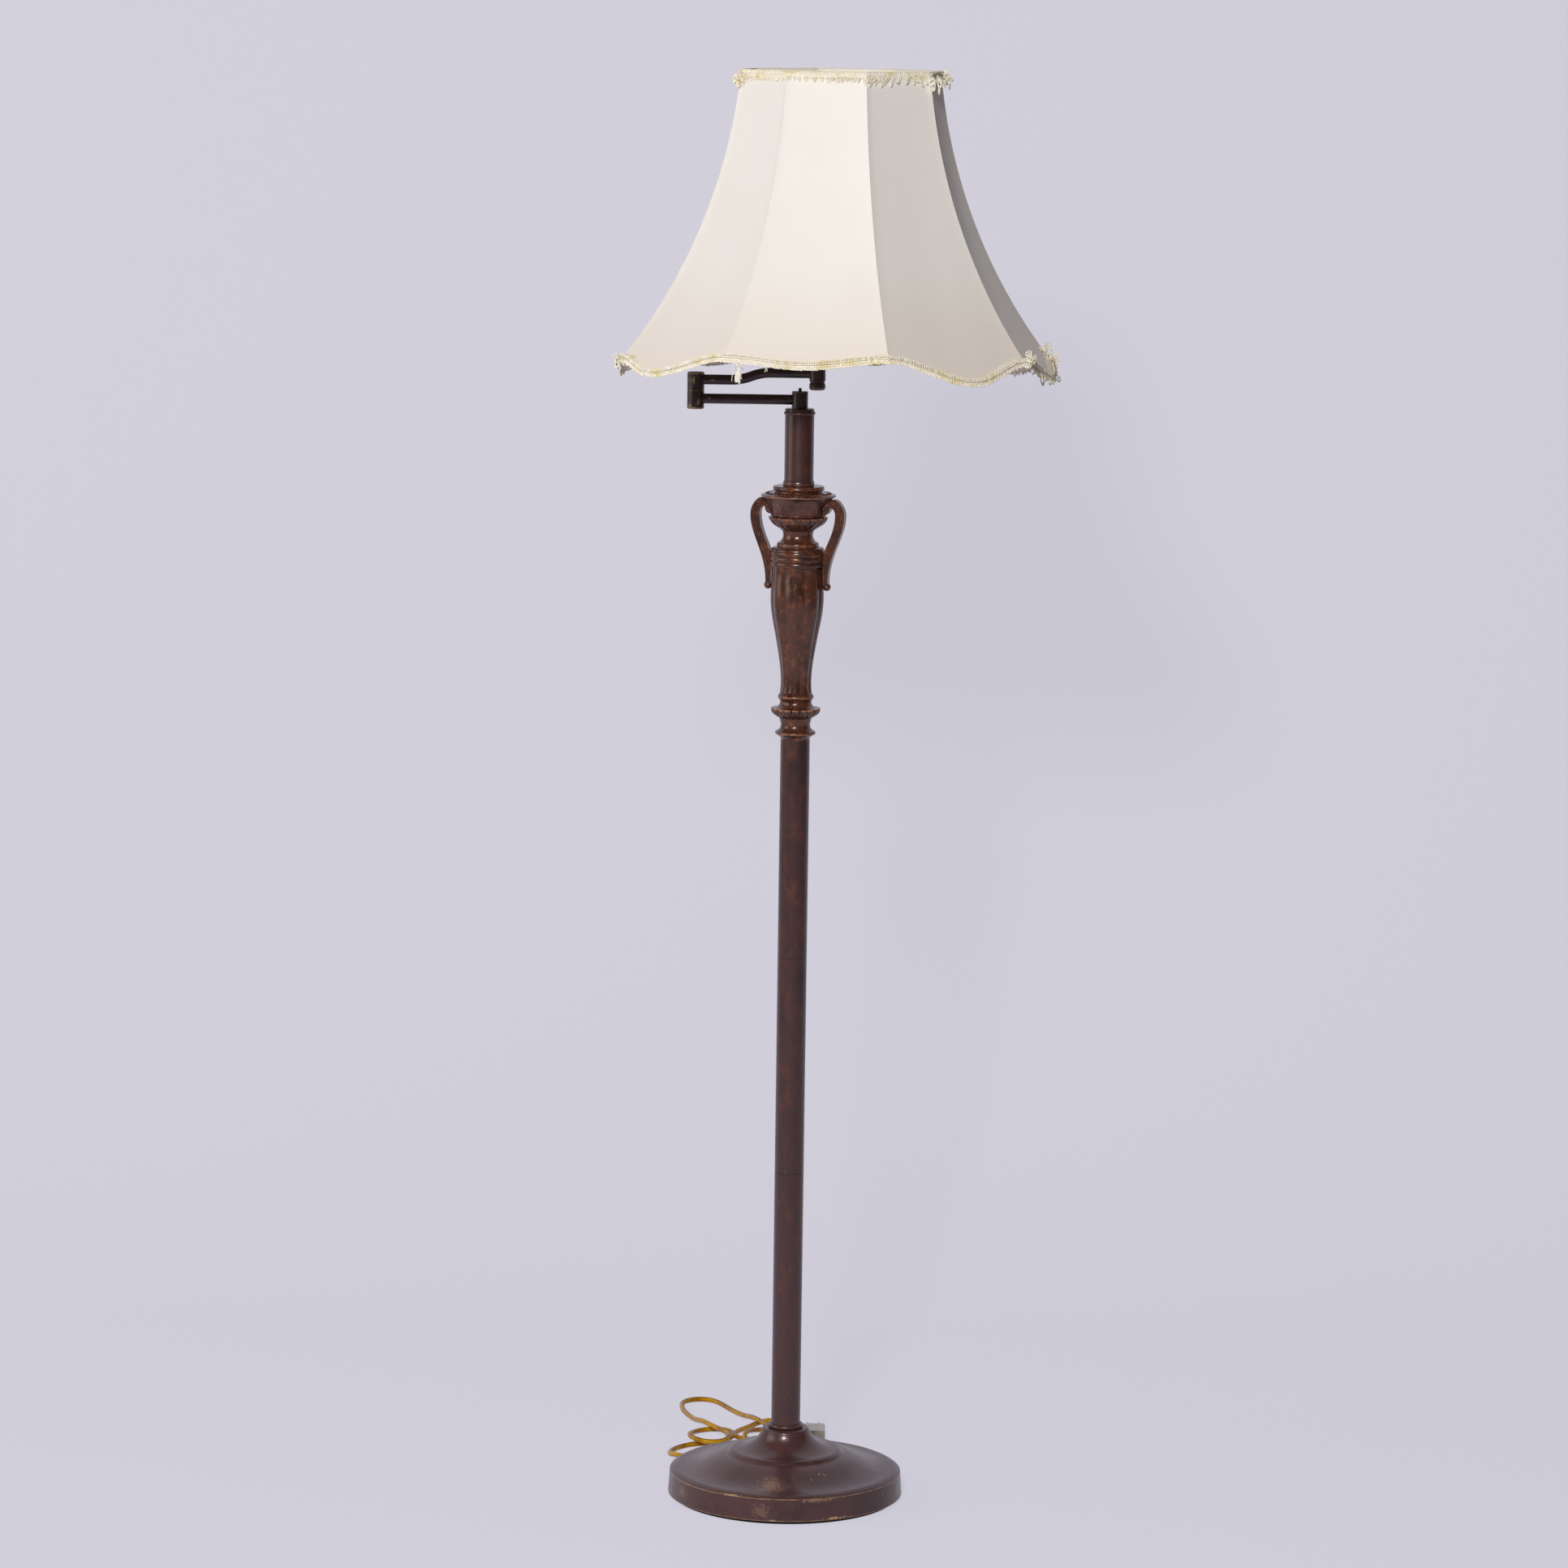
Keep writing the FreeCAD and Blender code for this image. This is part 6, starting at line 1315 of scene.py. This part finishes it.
        def place(along: float, down: float) -> Vector:
            """Place one corner of the cloth."""
            panel, share = int(math.floor(along)), along - math.floor(along)
            share = 0.5 - 0.5 * math.copysign(abs(1 - 2 * share) ** 0.82, 1 - 2 * share)
            round_at = panel + share
            low = self.hem_level(round_at) + hem_lift
            high = self.top - top_drop
            height = high + (low - high) * down
            spot = self.point(round_at, height, outward)
            seam = min(share, 1 - share)
            ripple = 0.00045 * math.sin(phases[panel] + 9 * share + 5 * down) * math.sin(math.pi * share) * down
            ripple += 0.0005 * math.sin(phases[panel + 8] + 31 * share) * max(0.0, down - 0.85) / 0.15 * math.sin(math.pi * share)
            inward = sag * math.sin(math.pi * share) * math.sin(math.pi * min(1.0, down)) ** 0.7
            stand = welt * math.exp(-(seam / 0.02) ** 2)
            return spot + self.outwards(along) * (ripple - inward + stand)

        return place

    def build_cloths(self, paints: Paintbox) -> tuple[bpy.types.Object, bpy.types.Object]:
        """Stretch the cloth and its lining over the frame.

        Args:
            paints: The finishes.

        Returns:
            The cloth and the lining.
        """
        height = self.top - self.hem
        made = []
        for name, outward, drop, lift, sag, welt, wall, node, slot in (
                ("shade_cloth", 0.0, 0.0, 0.0, 0.0016, 0.0007, 0.0008, "shade_fabric", Slot.SHADE_CLOTH),
                ("shade_inner_cloth", -0.0042, 0.009, 0.003, -0.0010, 0.0, 0.0005, "shade_lining", Slot.LINING)):
            piece = self.loop_of_edges(name, self.rows)
            self.shape(piece, self.rows, self.cloth_place(outward, drop, lift, sag, welt),
                       lambda along, down: (along * 0.13, down * height * 1.12))
            finish_with(piece, "SOLIDIFY", thickness=wall, offset=-1.0)
            smooth(piece, 30.0)
            made.append(hand_over(piece, Body.UPPER_ARM, slot, paints.made[slot], node))
        return made[0], made[1]

    def build_bands(self, paints: Paintbox) -> bpy.types.Object:
        """Sew the woven bands along the top and the hem.

        Args:
            paints: The finishes.

        Returns:
            The bands.
        """
        bands = []
        for name, is_top in (("top_band", True), ("hem_band", False)):
            piece = self.loop_of_edges(name, 4)

            def place(along: float, down: float, is_top: bool = is_top) -> Vector:
                """Place one corner of the band."""
                bulge = 0.0016 * math.sin(math.pi * min(1.0, max(0.0, down))) + 0.0003
                if is_top:
                    height = self.top + 0.0018 - 0.0078 * down
                else:
                    height = self.hem_level(along) + 0.0068 - 0.0086 * down
                return self.point(along, height, bulge)

            self.shape(piece, 4, place, lambda along, down: (along * 0.13, down * 0.006))
            finish_with(piece, "SOLIDIFY", thickness=0.0009, offset=-1.0)
            bands.append(piece)
        band = join(bands, "trim_band")
        smooth(band, 50.0)
        return hand_over(band, Body.UPPER_ARM, Slot.TRIM, paints.made[Slot.TRIM], "shade_trim")

    def thread_loop(self, name: str, width: float, drop: float, thickness: float) -> bpy.types.Object:
        """Model one small loop of thread.

        Args:
            name: The piece's name.
            width: How wide the loop is.
            drop: How far it hangs.
            thickness: How thick the thread is.

        Returns:
            The loop, facing +Y, hanging from the origin.
        """
        deselect()
        bpy.ops.mesh.primitive_torus_add(major_radius=0.5, minor_radius=thickness / 2 / (width * 0.8), major_segments=9, minor_segments=4,
                                         location=(0.0, 0.0, 0.0), rotation=(math.pi / 2, 0.0, 0.0))
        loop = named(name)
        loop.scale = (width, drop, width)
        settle(loop)
        edit_all(loop)
        bpy.ops.transform.translate(value=(0.0, 0.0, -drop / 2))
        bpy.ops.object.mode_set(mode="OBJECT")
        return loop

    def along_edge(self, is_top: bool, pitch: float) -> list[tuple[float, Vector, Vector]]:
        """Walk along the top or the hem in even steps.

        Args:
            is_top: The top edge, or else the hem.
            pitch: The length of a step.

        Returns:
            For each step the place round, the point and the direction along the edge.
        """
        fine = 64 * self.sides
        line = []
        for step in range(fine + 1):
            along = self.sides * step / fine
            height = self.top if is_top else self.hem_level(along % self.sides)
            line.append((along, self.point(along % self.sides, height, 0.0)))
        walked, wanted, places = 0.0, 0.0, []
        for (before, start), (after, end) in zip(line, line[1:]):
            run = (end - start).length
            while wanted < walked + run:
                share = (wanted - walked) / run
                places.append((before + (after - before) * share, start.lerp(end, share), (end - start).normalized()))
                wanted += pitch
            walked += run
        return places

    def fray(self, spot: Vector, is_top: bool) -> float:
        """Say how worn the trim is at a point.

        Args:
            spot: The point.
            is_top: The top edge, or else the hem.

        Returns:
            From 0, whole, to 1, in shreds.
        """
        side = (spot.x - self.centre) / (self.top_radius if is_top else self.hem_radius)
        if is_top:
            return min(1.0, 0.15 + max(0.0, side - 0.0) / 0.45) if spot.y < 0.05 else 0.15
        right = max(0.0, (side - 0.55) / 0.45)
        left = max(0.0, (-side - 0.80) / 0.2)
        return min(1.0, 0.08 + 0.9 * right + 0.6 * left)

    def build_threads(self, paints: Paintbox) -> bpy.types.Object:
        """Set the looped braid on the bands and let its fringe hang.

        Args:
            paints: The finishes.

        Returns:
            The threads.
        """
        rng = random.Random(self.seed + 1)
        whole: list[bpy.types.Object] = []
        for name, is_top in (("top_loops", True), ("hem_loops", False)):
            short = self.thread_loop(name, 0.0030, 0.0034, 0.0008)
            places, hanging = [], []
            for along, spot, heading in self.along_edge(is_top, 0.0026):
                outward = self.outwards(along)
                frame_of = Matrix((heading, outward, heading.cross(outward))).transposed()
                if frame_of.col[2].z < 0:
                    frame_of = Matrix((-heading, outward, (-heading).cross(outward))).transposed()
                wear = self.fray(spot, is_top)
                tilt = Matrix.Rotation(rng.uniform(-0.35, 0.35) + 0.45, 3, "Y")
                lift = 0.0016 if is_top else 0.0064
                place = spot + outward * (0.0020 + rng.uniform(0.0, 0.0006)) + Vector((0.0, 0.0, lift - 0.0004))
                if rng.random() > wear * 0.35:
                    places.append(Matrix.Translation(place) @ (frame_of @ tilt).to_4x4())
                if not is_top and rng.random() < 0.92:
                    edge = place + Vector((0.0, 0.0, -0.0052))
                    places.append(Matrix.Translation(edge) @ (frame_of @ tilt).to_4x4())
                low = place + Vector((0.0, 0.0, -0.0044 if is_top else -0.0064))
                long_here = is_top or wear > 0.25
                if long_here and rng.random() < 0.85:
                    drop = (1.0 + 0.6 * rng.random() + 2.4 * wear * rng.random()) if is_top else (0.5 + 1.8 * wear * rng.random())
                    swing = Matrix.Rotation(rng.uniform(-0.3, 0.3) * (0.5 + 2.2 * wear), 3, "Y") @ Matrix.Rotation(
                        rng.uniform(-0.1, 0.25) * (0.4 + wear), 3, "X")
                    scale = Matrix.Diagonal((0.75, 1.0, drop))
                    hanging.append(Matrix.Translation(low) @ (frame_of @ swing @ scale).to_4x4())
            whole.append(spread(short, places + hanging, name))
        threads = join(whole, "trim_threads")
        smooth(threads, 80.0)
        return hand_over(threads, Body.UPPER_ARM, Slot.TRIM, paints.made[Slot.TRIM])

    def build_strays(self, paints: Paintbox) -> bpy.types.Object:
        """Let the loose threads hang from the hem in front and at its worn corner.

        Args:
            paints: The finishes.

        Returns:
            The stray threads.
        """
        rng = random.Random(self.seed + 2)
        deselect()
        bpy.ops.mesh.primitive_cylinder_add(vertices=5, radius=0.00035, depth=1.0, location=(0.0, 0.0, -0.5))
        strand = named("stray_threads")
        settle(strand)
        places = []
        spots = [(self.locate(-0.0667), 0.021), (self.locate(-0.0340), 0.008), (self.locate(-0.0335), 0.007)]
        for along, drop in spots:
            spot = self.point(along, self.hem_level(along), 0.001)
            places.append(self.strand_place(spot, drop, rng, 0.25))
        for _ in range(46):
            along = 1.0 + rng.gauss(0.97, 0.10)
            spot = self.point(along % self.sides, self.hem_level(along % self.sides) + rng.uniform(-0.001, 0.004), 0.0016)
            places.append(self.strand_place(spot, rng.uniform(0.004, 0.012), rng, 0.9))
        for _ in range(30):
            along = 1.0 + rng.gauss(0.85, 0.20)
            spot = self.point(along % self.sides, self.top + rng.uniform(-0.004, 0.0015), 0.0018)
            places.append(self.strand_place(spot, rng.uniform(0.004, 0.011), rng, 0.9))
        strays = spread(strand, places, "stray_threads")
        return hand_over(strays, Body.UPPER_ARM, Slot.TRIM, paints.made[Slot.TRIM])

    def build_tufts(self, paints: Paintbox) -> bpy.types.Object:
        """Bunch curled threads where the trim has come apart.

        Args:
            paints: The finishes.

        Returns:
            The tufts.
        """
        rng = random.Random(self.seed + 3)
        curl = self.thread_loop("frayed_tufts", 0.0038, 0.0062, 0.0011)
        places = []
        for tuft in self.tufts:
            height = self.top if tuft.is_top else self.hem_level(tuft.along)
            middle = self.point(tuft.along, height, 0.0015) + Vector(tuft.shift)
            for _ in range(tuft.count):
                apart = Vector([reach * max(-1.6, min(1.6, rng.gauss(0.0, 0.6))) for reach in tuft.reach])
                turn = Matrix.Rotation(rng.uniform(0, 6.28), 4, "Z") @ Matrix.Rotation(rng.uniform(-0.9, 0.9), 4, "X")
                size = rng.uniform(0.55, 1.15)
                places.append(Matrix.Translation(middle + apart) @ turn @ Matrix.Diagonal((size, size, size * rng.uniform(0.8, 1.5), 1.0)))
        tufts = spread(curl, places, "frayed_tufts")
        smooth(tufts, 80.0)
        return hand_over(tufts, Body.UPPER_ARM, Slot.TRIM, paints.made[Slot.TRIM])

    def locate(self, x: float) -> float:
        """Find the place round the front of the hem that has a given x.

        Args:
            x: The distance from the pole's axis to the right.

        Returns:
            The place, counted in panels.
        """
        best, nearest = 0.0, 9.0
        for step in range(800):
            along = self.sides * step / 800
            spot = self.point(along, self.hem_level(along))
            if spot.y < 0 and abs(spot.x - x) < nearest:
                best, nearest = along, abs(spot.x - x)
        return best

    def strand_place(self, spot: Vector, drop: float, rng: random.Random, loose: float) -> Matrix:
        """Place one stray thread.

        Args:
            spot: Where it is caught.
            drop: How long it is.
            rng: The seeded source of chance.
            loose: How far it may swing, in radians.

        Returns:
            The place of a strand one metre long.
        """
        swing = Matrix.Rotation(rng.uniform(-loose, loose), 4, "X") @ Matrix.Rotation(rng.uniform(-loose, loose), 4, "Y")
        return Matrix.Translation(spot) @ swing @ Matrix.Diagonal((1.0, 1.0, drop, 1.0))

    def build(self, paints: Paintbox) -> None:
        """Build the whole shade.

        Args:
            paints: The finishes.
        """
        cloth, lining = self.build_cloths(paints)
        band = self.build_bands(paints)
        threads = self.build_threads(paints)
        strays = self.build_strays(paints)
        tufts = self.build_tufts(paints)
        self.cloth_area(0.0, 0.0, 0.0)
        self.cloth_area(-0.0042, 0.009, 0.003)

    def cloth_area(self, outward: float, drop: float, lift: float) -> float:
        """Work out the flat area of a cloth's eight panels.

        Args:
            outward: How far outside the CAD cloth's face it lies.
            drop: How far under the top edge it starts.
            lift: How far above the hem line it ends.

        Returns:
            The area in square metres.
        """
        total, steps = 0.0, 60
        for panel in range(self.sides):
            for column in range(8):
                along = panel + (column + 0.5) / 8
                high, low = self.top - drop, self.hem_level(along) + lift
                for step in range(steps):
                    above = high + (low - high) * step / steps
                    below = high + (low - high) * (step + 1) / steps
                    width = 2 * self.seam_radius((above + below) / 2, outward) * math.sin(math.pi / self.sides) / 8
                    fall = math.hypot(self.seam_radius(above, outward) * math.cos(math.pi / self.sides)
                                      - self.seam_radius(below, outward) * math.cos(math.pi / self.sides), above - below)
                    total += width * fall
        return total


# ---------------------------------------------------------------- urn
@dataclass
class UrnOrnament:
    """The small cast ornament on the urn: the rope round the flange and the beads on the handles."""

    flange_height: float = 1.0790
    flange_radius: float = 0.0330
    strokes: int = 44
    handle_turns: tuple[float, float] = (-15.0, 165.0)
    handle_line: tuple[tuple[float, float], ...] = (
        (0.0355, 1.0690), (0.0390, 1.0693), (0.0428, 1.0662), (0.0455, 1.0603), (0.0460, 1.0533), (0.0442, 1.0443),
        (0.0408, 1.0332), (0.0372, 1.0234), (0.0342, 1.0140), (0.0322, 1.0040), (0.0314, 0.9950), (0.0312, 0.9890))
    scroll: tuple[float, float] = (0.0285, 1.0635)
    face: float = 0.0045
    bead_radius: float = 0.00115
    bead_pitch: float = 0.0029

    def build_rope(self, paints: Paintbox) -> None:
        """Set slanted rope strokes on the flange's slope.

        Args:
            paints: The finishes.
        """
        deselect()
        bpy.ops.mesh.primitive_uv_sphere_add(segments=8, ring_count=6, radius=1.0, location=(0.0, 0.0, 0.0))
        stroke = named("flange_rope")
        stroke.scale = (0.0028, 0.00125, 0.0011)
        settle(stroke)
        places = []
        for index in range(self.strokes):
            turn = Matrix.Rotation(2 * math.pi * index / self.strokes, 4, "Z")
            slant = Matrix.Rotation(math.radians(14.0), 4, "Y") @ Matrix.Rotation(math.radians(38.0), 4, "Z")
            places.append(turn @ Matrix.Translation((self.flange_radius, 0.0, self.flange_height)) @ slant)
        rope = spread(stroke, places, "flange_rope")
        smooth(rope, 80.0)
        hand_over(rope, Body.STAND, Slot.URN_BRONZE, paints.made[Slot.URN_BRONZE])

    def handle_walk(self) -> list[tuple[float, float]]:
        """Walk down the middle of a handle in even steps.

        Returns:
            The distance from the urn's axis and the height of each bead.
        """
        walked, wanted, places = 0.0, 0.0, []
        for (x0, z0), (x1, z1) in zip(self.handle_line, self.handle_line[1:]):
            run = math.hypot(x1 - x0, z1 - z0)
            while wanted < walked + run:
                share = (wanted - walked) / run
                places.append((x0 + (x1 - x0) * share, z0 + (z1 - z0) * share))
                wanted += self.bead_pitch
            walked += run
        return places

    def build_beads(self, paints: Paintbox) -> None:
        """Set the rows of beads and the scroll eyes on the handles' faces.

        Args:
            paints: The finishes.
        """
        deselect()
        bpy.ops.mesh.primitive_uv_sphere_add(segments=8, ring_count=6, radius=self.bead_radius, location=(0.0, 0.0, 0.0))
        bead = named("handle_beads")
        deselect()
        bpy.ops.mesh.primitive_torus_add(major_radius=0.0040, minor_radius=0.0010, major_segments=24, minor_segments=8,
                                         location=(0.0, 0.0, 0.0), rotation=(math.pi / 2, 0.0, 0.0))
        ring = named("scroll_rings")
        settle(ring)
        beads, rings = [], []
        for degrees in self.handle_turns:
            turn = Matrix.Rotation(math.radians(degrees), 4, "Z")
            for side in (-1, 1):
                for x, z in self.handle_walk():
                    beads.append(turn @ Matrix.Translation((x, side * self.face, z)))
                eye = turn @ Matrix.Translation((self.scroll[0], side * (self.face + 0.0009), self.scroll[1]))
                rings.append(eye)
                beads.append(eye @ Matrix.Diagonal((1.5, 1.2, 1.5, 1.0)))
        ornament = join([spread(bead, beads, "handle_beads"), spread(ring, rings, "scroll_rings")], "handle_beads")
        smooth(ornament, 80.0)
        hand_over(ornament, Body.STAND, Slot.URN_BRONZE, paints.made[Slot.URN_BRONZE])

    def build(self, paints: Paintbox) -> None:
        """Build the ornament.

        Args:
            paints: The finishes.
        """
        self.build_rope(paints)
        self.build_beads(paints)


# ---------------------------------------------------------------- base
@dataclass
class Foot:
    """The felt under the base."""

    radius: float = 0.1200
    thickness: float = 0.003

    def build(self, paints: Paintbox) -> None:
        """Cut the felt pad with its soft edge.

        Args:
            paints: The finishes.
        """
        deselect()
        bpy.ops.mesh.primitive_cylinder_add(vertices=96, radius=self.radius, depth=self.thickness, end_fill_type="NGON",
                                            location=(0.0, 0.0, self.thickness / 2))
        pad = named("felt_pad")
        settle(pad)
        finish_with(pad, "BEVEL", width=0.0009, segments=3, limit_method="ANGLE")
        smooth(pad, 40.0)
        hand_over(pad, Body.STAND, Slot.FELT, paints.made[Slot.FELT], "floor_pad")


# ---------------------------------------------------------------- the lamp
def main() -> None:
    """Build the scene in order: studio, finishes, cord, shade and ornament."""
    logging.basicConfig(level=logging.INFO)
    studio = Studio()
    studio.place_camera()
    studio.lay_backdrop()
    studio.light_room()
    EFFECTS.build()
    paints = Paintbox()
    paints.mix_all()
    paints.dress_nodes()
    Cord().build(paints)
    Shade().build(paints)
    UrnOrnament().build(paints)
    Foot().build(paints)
    LOG.info("sizes written")


if __name__ == "__main__":
    main()
